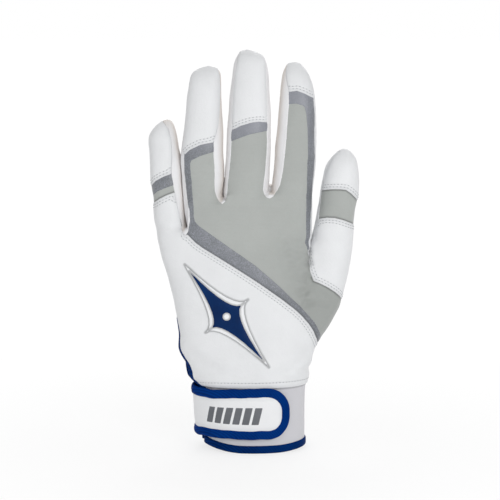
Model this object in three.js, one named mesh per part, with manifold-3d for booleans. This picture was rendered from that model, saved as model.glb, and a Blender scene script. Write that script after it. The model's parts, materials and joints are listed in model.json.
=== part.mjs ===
// A batting glove for the left hand, filled out as on a hand and standing on its cuff.
// Millimetres. +Z runs up the fingers, -Y faces out of the back of the hand, +X points to the thumb.
import * as THREE from 'three';
import { mergeVertices } from 'three/addons/utils/BufferGeometryUtils.js';
import Module from 'manifold-3d';

const wasm = await Module();
wasm.setup();

// Leather, tape and the room left between sewn pieces
const leather = 1.2;
const seamGap = 0.3;
const halfGap = seamGap / 2;
const tape = 0.5;
const tapeRoom = 0.15;
const tapeFold = tape + tapeRoom;
const hemTapeWidth = 4.4;
const cutOverrun = 160;
const weld = 1e-4;
const fullTurn = 360; // degrees

// Cuff, from the hem up to the seam at the wrist
const cuffHeight = 37;
const cuffHalfWidth = 29.2;
const cuffHalfDepth = 20.5;
const cuffShift = 2.2;
const cuffSquareness = 2.05;
const hemTurn = 0.9; // how far the hollow overruns the floor

// Slit on the little-finger side, through the cuff and up the heel of the hand
const slitRise = 36; // above the wrist seam
const slitHalfWidth = 2.6;
const slitTopHalfWidth = 0.5;
const slitTapeWidth = 3;
const slitReach = 14; // how near to the middle of the hand the cut comes

// Widths and depths of the fingers, with the room between their widest parts
const pinkyHalfWidth = 8.6;
const ringHalfWidth = 11.4;
const middleHalfWidth = 12;
const indexHalfWidth = 11.6;
const thumbHalfWidth = 12;
const pinkyHalfDepth = 8.6;
const ringHalfDepth = 9.9;
const middleHalfDepth = 10.1;
const indexHalfDepth = 9.9;
const thumbHalfDepth = 12;
const middleX = -0.8;
const ringSpace = 0.9;
const indexSpace = 1.3;
const pinkyTuck = 1.2; // the little finger is narrow where the ring finger is wide
const ringX = middleX - middleHalfWidth - ringSpace - ringHalfWidth;
const indexX = middleX + middleHalfWidth + indexSpace + indexHalfWidth;
const pinkyX = ringX - ringHalfWidth + pinkyTuck - pinkyHalfWidth;

// Hand, from the wrist seam up to the highest crotch between two fingers
const handHeight = 110;
const palmHalfWidth = pinkyHalfWidth + ringHalfWidth + middleHalfWidth + indexHalfWidth;
const handBackDepth = 15.5;
const handPalmDepth = 19;
// Rows: height share, share of palmHalfWidth at the middle, and of width, back depth, palm depth, squareness
const handShares = [
  [0, 0.045, 0.675, 1.3, 1.06, 2.05], [0.012, 0.024, 0.709, 1.31, 1.063, 2.05],
  [0.041, 0.0046, 0.743, 1.265, 1.063, 2.1], [0.064, -0.0046, 0.766, 1.206, 1.047, 2.1],
  [0.112, -0.0126, 0.79, 1.123, 1.01, 2.15], [0.153, -0.025, 0.835, 1.058, 1, 2.2],
  [0.191, -0.027, 0.862, 1.026, 1.016, 2.25], [0.271, -0.021, 0.874, 0.985, 1.03, 2.35],
  [0.434, -0.069, 0.89, 0.968, 0.974, 2.5], [0.557, -0.129, 0.926, 0.942, 0.884, 2.6],
  [0.679, -0.189, 0.954, 0.89, 0.779, 2.6], [0.8, -0.205, 1, 0.813, 0.674, 2.6],
  [0.923, -0.205, 1.009, 0.723, 0.589, 2.6], [1.04, -0.2, 1.011, 0.65, 0.54, 2.6],
];
const handRingShares = [0, 0.035, 0.09, 0.17, 0.27, 0.4, 0.55, 0.7, 0.85, 1.04];
const wristEaseShare = 0.06; // of handHeight, over which the cuff's round section turns into the hand's
const handSides = 30;

// The two lower crotches, from the wrist seam up, and the strips sewn round all three
const outerCrotchHeight = 90.2;
const ringCrotchHeight = 104.6;
const outerStrip = { halfWidth: 3, depth: 3.6 };
const ringStrip = { halfWidth: 4.2, depth: 4 };
const indexStrip = { halfWidth: 5.4, depth: 5 };
const stripShoulderShares = [[1, 0.3], [0.6, 0.85]]; // of halfWidth and of depth, down each side
const hingeRise = 0.5; // of a finger's bend line above its highest crotch

// Fingers. Shape rows: height share of length, side share of halfWidth, width share, depth share.
// Angles in degrees run round a finger from +X through the palm side.
const fingerSquareness = 2.4;
const fingerSides = 16;
const fingerRingShares = [-0.3, 0, 0.2, 0.42, 0.6, 0.75, 0.86, 0.94, 0.98, 1];
const stripTopShare = 0.9; // where the side strips end below a fingertip
const sectorShares = [-0.5, -0.18, 0.14, 0.46, 0.78, 1.1];
const fingers = {
  pinky: {
    root: cuffHeight + outerCrotchHeight + hingeRise,
    length: 59,
    x: pinkyX,
    y: 1.6,
    halfWidth: pinkyHalfWidth,
    halfDepth: pinkyHalfDepth,
    curlDepth: 7,
    knuckleShare: 0.44,
    shapeShares: [
      [-0.3, 0.2, 0.9, 0.95], [0, 0, 1, 1], [0.27, -0.15, 0.99, 1], [0.417, -0.27, 1.03, 0.99],
      [0.57, -0.31, 1.01, 0.97], [0.72, -0.43, 0.94, 0.92], [0.797, -0.5, 0.93, 0.88],
      [0.873, -0.52, 0.85, 0.8], [0.949, -0.4, 0.58, 0.58], [1, -0.26, 0.26, 0.2],
    ],
    backAngles: [197, 296],
    capAngles: [190, 345],
    stripAngles: { '': [296, 370] },
  },
  ring: {
    root: cuffHeight + ringCrotchHeight + hingeRise,
    length: 75.3,
    x: ringX,
    y: 0.2,
    halfWidth: ringHalfWidth,
    halfDepth: ringHalfDepth,
    curlDepth: 8,
    knuckleShare: 0.385,
    shapeShares: [
      [-0.3, 0.18, 0.83, 0.9], [0, 0.09, 0.87, 1], [0.137, 0.07, 0.955, 1], [0.256, 0, 1, 1],
      [0.375, -0.07, 1.01, 0.99], [0.554, -0.03, 0.925, 0.96], [0.672, -0.01, 0.86, 0.92], [0.792, 0, 0.81, 0.86],
      [0.85, 0.03, 0.775, 0.8], [0.911, 0.07, 0.73, 0.7], [0.969, 0.17, 0.57, 0.48], [1, 0.28, 0.3, 0.18],
    ],
    backAngles: [211, 307],
    capAngles: [183, 352],
    stripAngles: { _outer: [150, 211], _inner: [307, 380] },
  },
  middle: {
    root: cuffHeight + handHeight + hingeRise,
    length: 78.5,
    x: middleX,
    y: -0.4,
    halfWidth: middleHalfWidth,
    halfDepth: middleHalfDepth,
    curlDepth: 8,
    knuckleShare: 0.465,
    shapeShares: [
      [-0.3, 0, 0.97, 0.9], [0, 0, 0.99, 1], [0.067, 0.01, 1, 1], [0.294, 0.05, 1.01, 1],
      [0.465, 0.08, 0.99, 0.98], [0.577, 0.11, 0.955, 0.95], [0.691, 0.11, 0.905, 0.91], [0.805, 0.14, 0.84, 0.84],
      [0.918, 0.14, 0.74, 0.68], [0.975, 0.08, 0.51, 0.46], [1, -0.06, 0.26, 0.18],
    ],
    backAngles: [216, 326],
    capAngles: [180, 360],
    stripAngles: { _outer: [142, 216], _inner: [326, 396] },
  },
  index: {
    root: cuffHeight + handHeight + hingeRise,
    length: 71.5,
    x: indexX,
    y: 0.6,
    halfWidth: indexHalfWidth,
    halfDepth: indexHalfDepth,
    curlDepth: 8,
    knuckleShare: 0.42,
    shapeShares: [
      [-0.3, -0.1, 0.97, 0.9], [0, 0, 1, 1], [0.13, 0.08, 1, 1], [0.256, 0.15, 0.99, 1],
      [0.38, 0.18, 0.975, 0.99], [0.506, 0.23, 0.93, 0.96], [0.694, 0.27, 0.87, 0.91], [0.818, 0.25, 0.785, 0.82],
      [0.883, 0.21, 0.69, 0.72], [0.944, 0.16, 0.535, 0.55], [1, 0.1, 0.24, 0.18],
    ],
    backAngles: [240, 334],
    capAngles: [200, 346],
    stripAngles: { '': [165, 240] },
  },
};
// Seams across the back of each finger. Rows: share of halfWidth from x, height share of length
const seamShares = {
  pinkyCap: [[-1.6, 0.34], [-1.25, 0.364], [-0.93, 0.417], [-0.48, 0.456], [0.03, 0.483], [1.5, 0.5]],
  pinkyBand: [[-1.6, 0.26], [-1.18, 0.285], [-0.86, 0.327], [-0.36, 0.361], [0.1, 0.385], [1.5, 0.4]],
  pinkyStripe: [[-1.6, 0.18], [-1.06, 0.208], [-0.68, 0.251], [-0.22, 0.285], [0.23, 0.308], [1.5, 0.32]],
  ringCap: [[-1.6, 0.29], [-0.93, 0.327], [-0.67, 0.368], [-0.18, 0.405], [0.41, 0.424], [1.6, 0.43]],
  ringBand: [[-0.62, 0.285], [-0.18, 0.323], [0.45, 0.353], [1.6, 0.37]],
  ringEdge: [[-0.5, -0.3], [-0.5, -0.04], [-0.59, 0.145], [-0.66, 0.25]],
  middleCap: [[-1.6, 0.37], [-0.66, 0.429], [-0.34, 0.453], [0.12, 0.478], [0.48, 0.487], [1.6, 0.48]],
  middleBand: [[-1.6, 0.3], [-0.7, 0.358], [-0.34, 0.382], [0.12, 0.408], [0.85, 0.429], [1.6, 0.44]],
  indexCap: [[-1.6, 0.76], [-0.08, 0.765], [0.28, 0.772], [0.65, 0.748], [0.91, 0.72], [1.6, 0.68]],
  indexBand: [[-1.6, 0.676], [-0.06, 0.678], [0.23, 0.682], [0.62, 0.663]],
  indexEdge: [
    [0.7, -0.46], [0.72, -0.3], [0.76, 0.035], [0.84, 0.25], [0.83, 0.46], [0.76, 0.585], [0.7, 0.64],
  ],
};

// Thumb, with rows as for a finger
const thumbFootShares = [0.459, 0.1]; // of palmHalfWidth and handHeight
const thumb = {
  root: cuffHeight + thumbFootShares[1] * handHeight,
  length: 122,
  x: thumbFootShares[0] * palmHalfWidth,
  y: 4,
  halfWidth: thumbHalfWidth,
  halfDepth: thumbHalfDepth,
  curlDepth: 5,
  knuckleShare: 0.8,
  shapeShares: [
    [0, 0, 1, 1], [0.107, 0.33, 1.2, 1.2], [0.195, 0.79, 1.3, 1.25], [0.267, 1.13, 1.34, 1.22],
    [0.323, 1.38, 1.32, 1.17], [0.415, 1.71, 1.225, 1.06], [0.488, 2.03, 1.04, 0.96], [0.548, 2.16, 0.99, 0.9],
    [0.634, 2.32, 0.9, 0.85], [0.708, 2.43, 0.86, 0.82], [0.782, 2.56, 0.865, 0.8], [0.855, 2.64, 0.83, 0.74],
    [0.929, 2.7, 0.7, 0.6], [0.965, 2.77, 0.53, 0.45], [0.992, 2.79, 0.28, 0.25], [1, 2.79, 0.16, 0.12],
  ],
  backAngles: [185, 355],
};
const thumbRingShares = [0, 0.12, 0.22, 0.32, 0.42, 0.52, 0.64, 0.76, 0.86, 0.93, 0.975, 1];
const thumbSectorShares = [0, 0.21, 0.42, 0.63, 0.84, 1.05];
const thumbCrotchShares = [0.766, 0.709]; // of palmHalfWidth and handHeight
const thumbRootTilt = 57; // degrees from straight up, of the way out of the thumb's root
const thumbTipTilt = 7;
const thumbCapShares = [
  [1, 0.806], [1.8, 0.811], [2.13, 0.816], [2.6, 0.817], [2.88, 0.814], [3.12, 0.797], [3.4, 0.765], [3.9, 0.71],
];
const thumbFlexShares = [
  [1, 0.672], [1.63, 0.68], [2, 0.688], [2.37, 0.685], [2.74, 0.676], [3.2, 0.657], [3.9, 0.63],
];

// Seams of the back of the hand. Rows: share of palmHalfWidth, height share of handHeight
const bandLowShares = [
  [-0.83, 0.82], [-0.786, 0.775], [-0.586, 0.704], [-0.109, 0.587], [0.405, 0.451], [0.702, 0.354], [0.837, 0.283],
  [0.882, 0.213], [1.3, 0.05],
];
const bandHighShares = [
  [-0.702, 0.99], [-0.702, 0.846], [-0.586, 0.8], [-0.109, 0.669], [0.277, 0.549], [0.663, 0.407], [0.843, 0.324],
  [0.905, 0.26], [1.3, 0.09],
];
const thumbPanelShares = [
  [0.759, 0.73], [0.772, 0.672], [0.779, 0.621], [0.798, 0.58], [0.83, 0.539], [0.92, 0.526], [1.011, 0.509],
  [1.101, 0.485], [1.166, 0.463], [1.198, 0.443], [1.6, 0.3],
];
// The seam round the side of the hand. Rows: share of palmHalfWidth, share of handPalmDepth
const sideSeamShares = [[-3, 0], [0.3, 0.02], [0.85, 0.26], [3, 0.33]];

// Raised badge on the back: a four-pointed star with a round hole
const badgeShares = [-0.149, 0.377]; // its middle, of palmHalfWidth and handHeight
const badgeLong = 33;
const badgeWide = 12.5;
const badgeWaist = [4.7, 7];
const badgeTilt = 39; // degrees, of its long points from straight up, to the little finger
const badgeHole = 2.3;
const badgeThick = 0.9;
const borderWidth = 2;
const borderPointShares = [2.4, 1.5]; // how much further than its width the border runs at the points
const borderThick = 0.8;

// Strap over the cuff. Angles in degrees run round the cuff from +X through the palm side.
const strapBottom = 9;
const strapRise = 0.5; // above the wrist seam
const strapTop = cuffHeight + strapRise;
const strapEndRadius = 13;
const strapSeatAngle = 118;
const strapRootAngle = 150;
const strapEndAngle = 309;
const strapThick = 1.3;
const strapTapeWidth = 4.7;
const strapRootGap = 0.4;
const strapRootThick = 2.1;
const strapSettleAngle = 26; // over which the strap climbs from its root to its place over the pile
const strapEndTrim = 0.35; // the strap's last row lies this far short of its point
const strapSteps = 22;
const pileThick = 0.7;
const pileGap = 0.25;
const loopAngles = [224, 303];
const loopMargin = 4;
const hookAngle = 260;
const hookMargin = 0.6;

// Elastic inside the palm side of the wrist
const elasticWidth = 8;
const elasticThick = 0.9;
const elasticAngles = [20, 160];

// Colours
const finish = (color, roughness) => new THREE.MeshStandardMaterial({ color, roughness, metalness: 0 });
const whiteLeather = finish(0xe6e7e9, 0.5);
const whiteCloth = finish(0xe2e2e4, 0.75);
const greyPanel = finish(0xa7ada5, 0.65);
const darkBand = finish(0x7d8190, 0.4);
const blueTape = finish(0x10407f, 0.55);
const blueBadge = finish(0x0d2f63, 0.35);
const whitePile = finish(0xd8d9dc, 0.95);

const radians = THREE.MathUtils.degToRad;

// The row of shares at one height, eased between the rows around it
function rowAt(rows, height) {
  let i = 0;
  while (i < rows.length - 2 && rows[i + 1][0] < height) i += 1;
  const slope = (k, column) => {
    const before = rows[Math.max(0, k - 1)];
    const after = rows[Math.min(rows.length - 1, k + 1)];
    return (after[column] - before[column]) / (after[0] - before[0]);
  };
  const step = rows[i + 1][0] - rows[i][0];
  const t = THREE.MathUtils.clamp((height - rows[i][0]) / step, 0, 1);
  return rows[i].map((value, column) => {
    const next = rows[i + 1][column];
    const start = slope(i, column) * step;
    const end = slope(i + 1, column) * step;
    return value + t * (start + t * (3 * (next - value) - 2 * start - end + t * (2 * (value - next) + start + end)));
  });
}

// Level sections: middle, half width, half depths to the back and to the palm, squareness
function handSection(z) {
  const depth = { back: cuffHalfDepth, palm: cuffHalfDepth };
  const cuff = { x: cuffShift, y: 0, width: cuffHalfWidth, ...depth, square: cuffSquareness };
  if (z <= cuffHeight) return cuff;
  const [, middle, width, back, palm, square] = rowAt(handShares, (z - cuffHeight) / handHeight);
  const rise = THREE.MathUtils.smoothstep(z, cuffHeight, cuffHeight + wristEaseShare * handHeight);
  const mix = THREE.MathUtils.lerp;
  return {
    x: mix(cuff.x, middle * palmHalfWidth, rise),
    y: 0,
    width: mix(cuff.width, width * palmHalfWidth, rise),
    back: mix(cuff.back, back * handBackDepth, rise),
    palm: mix(cuff.palm, palm * handPalmDepth, rise),
    square: mix(cuff.square, square, rise),
  };
}

function stallSection(f, z) {
  const height = (z - f.root) / f.length;
  const [, side, width, depth] = rowAt(f.shapeShares, height);
  return {
    x: f.x + side * f.halfWidth,
    y: f.y + f.curlDepth * Math.max(0, height) ** 2,
    width: width * f.halfWidth,
    back: depth * f.halfDepth,
    palm: depth * f.halfDepth,
    square: fingerSquareness,
  };
}

function ringPoint(section, angle, z, offset = 0) {
  const across = Math.cos(angle);
  const through = Math.sin(angle);
  const depth = (through > 0 ? section.palm : section.back) + offset;
  const bend = 2 / section.square;
  return new THREE.Vector3(
    section.x + (section.width + offset) * Math.sign(across) * Math.abs(across) ** bend,
    section.y + depth * Math.sign(through) * Math.abs(through) ** bend,
    z,
  );
}

// A closed body through rows of points. Each end is a fan about the row's middle, or about its first point.
function loft(rows, fanFromFirst = false) {
  const count = rows[0].length;
  const middle = (row) => row.reduce((sum, p) => sum.add(p), new THREE.Vector3()).divideScalar(count);
  const hub = (row) => (fanFromFirst ? row[0].clone() : middle(row));
  const points = [...rows.flat(), hub(rows[0]), hub(rows.at(-1))];
  const low = rows.length * count;
  const high = low + 1;
  const faces = [];
  for (let j = 0; j < count; j += 1) {
    const k = (j + 1) % count;
    const last = low - count;
    faces.push([low, k, j]);
    faces.push([high, last + j, last + k]);
    for (let i = 0; i < last; i += count) {
      faces.push([i + j, i + k, i + count + k]);
      faces.push([i + j, i + count + k, i + count + j]);
    }
  }
  const spike = ([a, b, c]) => points[a].dot(points[b].clone().cross(points[c]));
  const volume = faces.reduce((sum, face) => sum + spike(face), 0);
  if (volume < 0) faces.forEach((face) => face.reverse());
  return new THREE.BufferGeometry().setFromPoints(points).setIndex(faces.flat());
}

function solid(geometry) {
  const plain = geometry.clone();
  plain.deleteAttribute('normal');
  plain.deleteAttribute('uv');
  const merged = mergeVertices(plain, weld);
  const used = [];
  for (let i = 0; i < merged.index.count; i += 3) {
    const face = [merged.index.getX(i), merged.index.getX(i + 1), merged.index.getX(i + 2)];
    if (new Set(face).size === 3) used.push(...face);
  }
  const triVerts = new Uint32Array(used);
  return new wasm.Manifold(new wasm.Mesh({ numProp: 3, vertProperties: merged.attributes.position.array, triVerts }));
}

const join = (...parts) => parts.reduce((a, b) => a.add(b));
const turn = (count) => Array.from({ length: count }, (_, j) => (2 * Math.PI * j) / count);

// The hand and cuff without fingers, grown by offset
function handBody(offset, bottom = 0) {
  const heights = [bottom, cuffHeight / 2, ...handRingShares.map((share) => cuffHeight + share * handHeight)];
  const row = (z) => turn(handSides).map((angle) => ringPoint(handSection(z), angle, z, offset));
  return solid(loft(heights.map(row)));
}

// A finger or thumb stall, shrunk by inset all round and at the tip
function stall(f, rings, inset) {
  const row = (share) => {
    const section = stallSection(f, f.root + share * f.length);
    const offset = -Math.min(inset, section.width / 2, section.back / 2);
    const z = f.root + rings[0] * f.length + (share - rings[0]) * (f.length - inset / (1 - rings[0]));
    return turn(fingerSides).map((angle) => ringPoint(section, angle, z, offset));
  };
  return solid(loft(rings.map(row)));
}
const fingerStall = (f, inset) => stall(f, fingerRingShares, inset);
const thumbStall = (inset) => stall(thumb, thumbRingShares, inset);

// Prisms that cut: an outline seen from the back, from the side, or from above
const outline = (points) => new THREE.Shape(points.map(([a, b]) => new THREE.Vector2(a, b)));
const slab = (shape, depth) => new THREE.ExtrudeGeometry(shape, { depth, bevelEnabled: false, curveSegments: 10 });
function seenFromBack(points, from = -cutOverrun, to = cutOverrun) {
  const shape = points instanceof THREE.Shape ? points : outline(points);
  return solid(slab(shape, to - from).rotateX(Math.PI / 2).translate(0, to, 0));
}
function seenFromSide(points, from = -cutOverrun, to = cutOverrun) {
  return solid(slab(outline(points), to - from).rotateX(Math.PI / 2).rotateZ(Math.PI / 2).translate(from, 0, 0));
}
function seenFromAbove(points, from = -cutOverrun, to = cutOverrun) {
  return solid(slab(outline(points), to - from).translate(0, 0, from));
}
function level(from, to) {
  return seenFromBack([[-cutOverrun, from], [cutOverrun, from], [cutOverrun, to], [-cutOverrun, to]]);
}

const moved = (line, across, up) => line.map(([x, z]) => [x + across, z + up]);
const farUp = 2 * cutOverrun;
// The field above, below or to the right of a line that runs from left to right, or upwards
const above = (line, rise) => {
  const low = moved(line, 0, rise);
  return seenFromBack([...low, [low.at(-1)[0], farUp], [low[0][0], farUp]]);
};
const below = (line, rise) => {
  const high = moved(line, 0, rise);
  return seenFromBack([...high, [high.at(-1)[0], -cutOverrun], [high[0][0], -cutOverrun]]);
};
const rightOf = (line) => seenFromBack([...line, [cutOverrun, line.at(-1)[1]], [cutOverrun, line[0][1]]]);
const leftOf = (line) => seenFromBack([...line, [-cutOverrun, line.at(-1)[1]], [-cutOverrun, line[0][1]]]);
const aboveBand = (line, rise) => {
  const low = moved(line, 0, rise);
  return seenFromBack([...low, [cutOverrun, low.at(-1)[1]], [cutOverrun, farUp], [low[0][0], farUp]]);
};

// Everything beyond a hinge line seen from the back
function beyond(hinge, offset) {
  const out = new THREE.Vector2(Math.sin(radians(hinge.tilt)), Math.cos(radians(hinge.tilt)));
  const along = new THREE.Vector2(out.y, -out.x);
  const corner = (u, v) => [hinge.x + along.x * u + out.x * v, hinge.z + along.y * u + out.y * v];
  const low = [corner(-cutOverrun, offset), corner(cutOverrun, offset)];
  return seenFromBack([...low, corner(cutOverrun, cutOverrun), corner(-cutOverrun, cutOverrun)]);
}

// A wedge about a stall's own middle line, between two angles
function sector(f, shares, [from, to], inset) {
  const margin = THREE.MathUtils.radToDeg(inset / f.halfWidth);
  const steps = Math.ceil((to - from) / 30);
  const row = (share) => {
    const z = f.root + share * f.length;
    const { x, y } = stallSection(f, z);
    const rays = Array.from({ length: steps + 1 }, (_, k) => {
      const angle = radians(from + margin + (k / steps) * (to - from - 2 * margin));
      return new THREE.Vector3(x + cutOverrun * Math.cos(angle), y + cutOverrun * Math.sin(angle), z);
    });
    return [new THREE.Vector3(x, y, z), ...rays];
  };
  return solid(loft(shares.map(row), true));
}

const glove = new THREE.Group();
glove.name = 'batting_glove';

function part(name, shape, material) {
  const [body] = shape.decompose().sort((a, b) => b.volume() - a.volume());
  const { numVert, numProp, vertProperties, triVerts } = body.getMesh();
  const vertices = new Float32Array(numVert * 3);
  for (let i = 0; i < numVert; i += 1) {
    vertices.set(vertProperties.subarray(i * numProp, i * numProp + 3), i * 3);
  }
  const geometry = new THREE.BufferGeometry();
  geometry.setAttribute('position', new THREE.BufferAttribute(vertices, 3));
  geometry.setIndex(new THREE.BufferAttribute(triVerts, 1));
  geometry.computeVertexNormals();
  const made = new THREE.Mesh(geometry, material.clone());
  made.name = name;
  glove.add(made);
}

// Bend lines: each finger at its root and its knuckle, the thumb at its root and its tip seam
const rootHinge = (f) => ({ x: f.x, z: f.root, tilt: 0 });
const knuckleHinge = (f, tilt = 0) => {
  const z = f.root + f.knuckleShare * f.length;
  return { x: stallSection(f, z).x, z, tilt };
};
const palmPlace = ([side, up]) => [side * palmHalfWidth, cuffHeight + up * handHeight];
const thumbCrotch = palmPlace(thumbCrotchShares);
const thumbRoot = { x: thumbCrotch[0], z: thumbCrotch[1], tilt: thumbRootTilt };
const seamLine = (f, shares) => shares.map(([side, up]) => [f.x + side * f.halfWidth, f.root + up * f.length]);

// A finger's palm and side strips, and its back as handed to backs()
function finger(name, f, backs) {
  const shell = fingerStall(f, 0).subtract(fingerStall(f, leather)).intersect(beyond(rootHinge(f), halfGap));
  const tip = beyond(knuckleHinge(f), halfGap);
  const rest = beyond(knuckleHinge(f), -halfGap);
  const wedge = (angles, inset) => sector(f, sectorShares, angles, inset);
  const split = f.root + stripTopShare * f.length;
  const capCover = (inset) => wedge(f.capAngles, inset).intersect(level(split + inset, farUp));
  const cover = (inset) => join(wedge(f.backAngles, inset), capCover(inset));
  const side = (angles, inset) => wedge(angles, inset).intersect(level(-cutOverrun, split - halfGap - inset));
  backs(shell.intersect(cover(halfGap)), shell.intersect(wedge(f.backAngles, halfGap)), tip, rest);
  const sides = Object.values(f.stripAngles).map((angles) => side(angles, -halfGap));
  const palm = shell.subtract(join(cover(-halfGap), ...sides));
  part(`${name}_palm_base`, palm.subtract(rest), whiteLeather);
  part(`${name}_palm_tip`, palm.intersect(tip), whiteLeather);
  Object.entries(f.stripAngles).forEach(([place, angles]) => {
    const strip = shell.intersect(side(angles, halfGap));
    part(`${name}${place}_gusset_base`, strip.subtract(rest), whiteLeather);
    part(`${name}${place}_gusset_tip`, strip.intersect(tip), whiteLeather);
  });
}

finger('pinky', fingers.pinky, (whole, back) => {
  const cap = seamLine(fingers.pinky, seamShares.pinkyCap);
  const band = seamLine(fingers.pinky, seamShares.pinkyBand);
  const stripe = seamLine(fingers.pinky, seamShares.pinkyStripe);
  part('pinky_tip_cap', whole.intersect(above(cap, halfGap)), whiteLeather);
  part('pinky_band', back.intersect(below(cap, -halfGap)).intersect(above(band, halfGap)), darkBand);
  part('pinky_stripe', back.intersect(below(band, -halfGap)).intersect(above(stripe, halfGap)), greyPanel);
  part('pinky_back_base', back.intersect(below(stripe, -halfGap)), whiteLeather);
});

finger('ring', fingers.ring, (whole, back) => {
  const cap = seamLine(fingers.ring, seamShares.ringCap);
  const edge = seamLine(fingers.ring, seamShares.ringEdge);
  const band = seamLine(fingers.ring, seamShares.ringBand);
  const field = rightOf([...edge, ...band]);
  const grown = rightOf([...moved(edge, -seamGap, 0), ...moved(band, 0, seamGap)]);
  part('ring_tip_cap', whole.intersect(above(cap, halfGap)), whiteLeather);
  part('ring_band', back.intersect(below(cap, -halfGap)).subtract(grown), darkBand);
  part('ring_back', back.intersect(field), greyPanel);
});

finger('middle', fingers.middle, (whole, back) => {
  const cap = seamLine(fingers.middle, seamShares.middleCap);
  const band = seamLine(fingers.middle, seamShares.middleBand);
  part('middle_tip_cap', whole.intersect(above(cap, halfGap)), whiteLeather);
  part('middle_band', back.intersect(below(cap, -halfGap)).intersect(above(band, halfGap)), darkBand);
  part('middle_back', back.intersect(below(band, -halfGap)), greyPanel);
});

const indexEdge = seamLine(fingers.index, seamShares.indexEdge);
finger('index', fingers.index, (whole, back, tip, rest) => {
  const cap = seamLine(fingers.index, seamShares.indexCap);
  const band = seamLine(fingers.index, seamShares.indexBand);
  const edge = indexEdge.toReversed();
  const field = leftOf([...band, ...edge]);
  const grown = leftOf([...moved(band, 0, seamGap), ...moved(edge, seamGap, 0)]);
  const trim = back.intersect(below(cap, -halfGap)).subtract(grown);
  part('index_tip_cap', whole.intersect(above(cap, halfGap)), whiteLeather);
  part('index_band', trim.intersect(tip), darkBand);
  part('index_edge_band', trim.subtract(rest), darkBand);
  part('index_back_tip', back.intersect(field).intersect(tip), greyPanel);
  part('index_back_base', back.intersect(field).subtract(rest), greyPanel);
});

// The seam round the side of the hand parts the back panels from the palm
const sideSeam = sideSeamShares.map(([side, deep]) => [side * palmHalfWidth, deep * handPalmDepth]);
const sideOf = (rise, far) => seenFromAbove([...moved(sideSeam, 0, rise), [cutOverrun, far], [-cutOverrun, far]]);
const backSide = sideOf(-halfGap, -cutOverrun);
const palmSide = sideOf(halfGap, cutOverrun);

// The thumb's white back panel reaches past the thumb's root, onto the back of the hand
const thumbPanelSeam = thumbPanelShares.map(palmPlace);
const thumbPanelSide = (shift) => {
  const field = rightOf(moved(thumbPanelSeam, shift, shift));
  return field.intersect(level(-cutOverrun, thumbRoot.z - shift));
};
const thumbWhole = thumbStall(0).subtract(thumbStall(leather));
const thumbShell = thumbWhole.intersect(beyond(thumbRoot, halfGap));
const thumbWedge = (angles) => sector(thumb, thumbSectorShares, angles, halfGap);
const [thumbBackFrom, thumbBackTo] = thumb.backAngles;
const thumbOnHand = thumbWhole.intersect(thumbPanelSide(halfGap)).intersect(backSide);
const thumbBack = join(thumbShell, thumbOnHand).intersect(thumbWedge(thumb.backAngles));
const thumbPalm = thumbShell.intersect(thumbWedge([thumbBackTo - fullTurn, thumbBackFrom]));
const thumbKnuckle = knuckleHinge(thumb, thumbTipTilt);
const thumbCap = seamLine(thumb, thumbCapShares);
const thumbFlex = seamLine(thumb, thumbFlexShares);
part('thumb_tip_cap', thumbBack.intersect(above(thumbCap, halfGap)), whiteLeather);
const thumbFlexField = below(thumbCap, -halfGap).intersect(above(thumbFlex, halfGap));
part('thumb_flex_panel', thumbBack.intersect(thumbFlexField), greyPanel);
part('thumb_back_panel', thumbBack.intersect(below(thumbFlex, -halfGap)), whiteLeather);
part('thumb_palm_tip', thumbPalm.intersect(beyond(thumbKnuckle, halfGap)), whiteLeather);
part('thumb_palm_base', thumbPalm.subtract(beyond(thumbKnuckle, -halfGap)), whiteLeather);

// The hand: a hollow body with the foot of each stall grown out of it, cut off at each bend line
const crotchBetween = (low, high, height, strip) => {
  const z = cuffHeight + height;
  const lowSide = stallSection(low, z);
  const highSide = stallSection(high, z);
  return { x: (lowSide.x + lowSide.width + highSide.x - highSide.width) / 2, z, strip };
};
const crotches = {
  pinky_ring: crotchBetween(fingers.pinky, fingers.ring, outerCrotchHeight, outerStrip),
  ring_middle: crotchBetween(fingers.ring, fingers.middle, ringCrotchHeight, ringStrip),
  middle_index: crotchBetween(fingers.middle, fingers.index, handHeight, indexStrip),
};
function handSpace(inset) {
  const [outer, ring, index] = Object.values(crotches);
  const top = [
    [-cutOverrun, outer.z], [outer.x, outer.z], [outer.x, ring.z], [ring.x, ring.z],
    [index.x, index.z], [cutOverrun, index.z],
  ];
  return handBody(-inset, inset ? -hemTurn : 0).intersect(below(top, -inset));
}
const stalls = Object.values(fingers);
const feet = stalls.map((f) => fingerStall(f, 0).subtract(beyond(rootHinge(f), -halfGap)));
const thumbFoot = thumbStall(0).subtract(beyond(thumbRoot, -halfGap));
const outside = join(handSpace(0), ...feet, thumbFoot);
const inside = join(handSpace(leather), ...stalls.map((f) => fingerStall(f, leather)), thumbStall(leather));
const handShell = outside.subtract(inside);

// The slit, seen from the little-finger side, widened by inset
const slitFold = (inset) => {
  const wide = slitHalfWidth + inset;
  const narrow = slitTopHalfWidth + inset;
  const top = cuffHeight + slitRise + inset;
  const side = [[wide, -cutOverrun], [wide, cuffHeight], [narrow, top]];
  const points = [...side, ...side.toReversed().map(([y, z]) => [-y, z])];
  return seenFromSide(points, -cutOverrun, -slitReach);
};
const slit = slitFold(0);

// The strips that turn round the crotches
const crotchCut = ({ x, z, strip }, grow) => {
  const wide = strip.halfWidth + grow;
  const deep = strip.depth + grow;
  const side = [[wide, cutOverrun], ...stripShoulderShares.map(([a, b]) => [wide * a, -deep * b])];
  const points = [...side, [0, -deep], ...side.toReversed().map(([a, b]) => [-a, b])];
  return seenFromBack(moved(points, x, z));
};
Object.entries(crotches).forEach(([name, crotch]) => {
  part(`crotch_gusset_${name}`, handShell.intersect(crotchCut(crotch, 0)), whiteLeather);
});
const crotchCuts = join(...Object.values(crotches).map((crotch) => crotchCut(crotch, seamGap)));

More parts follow.
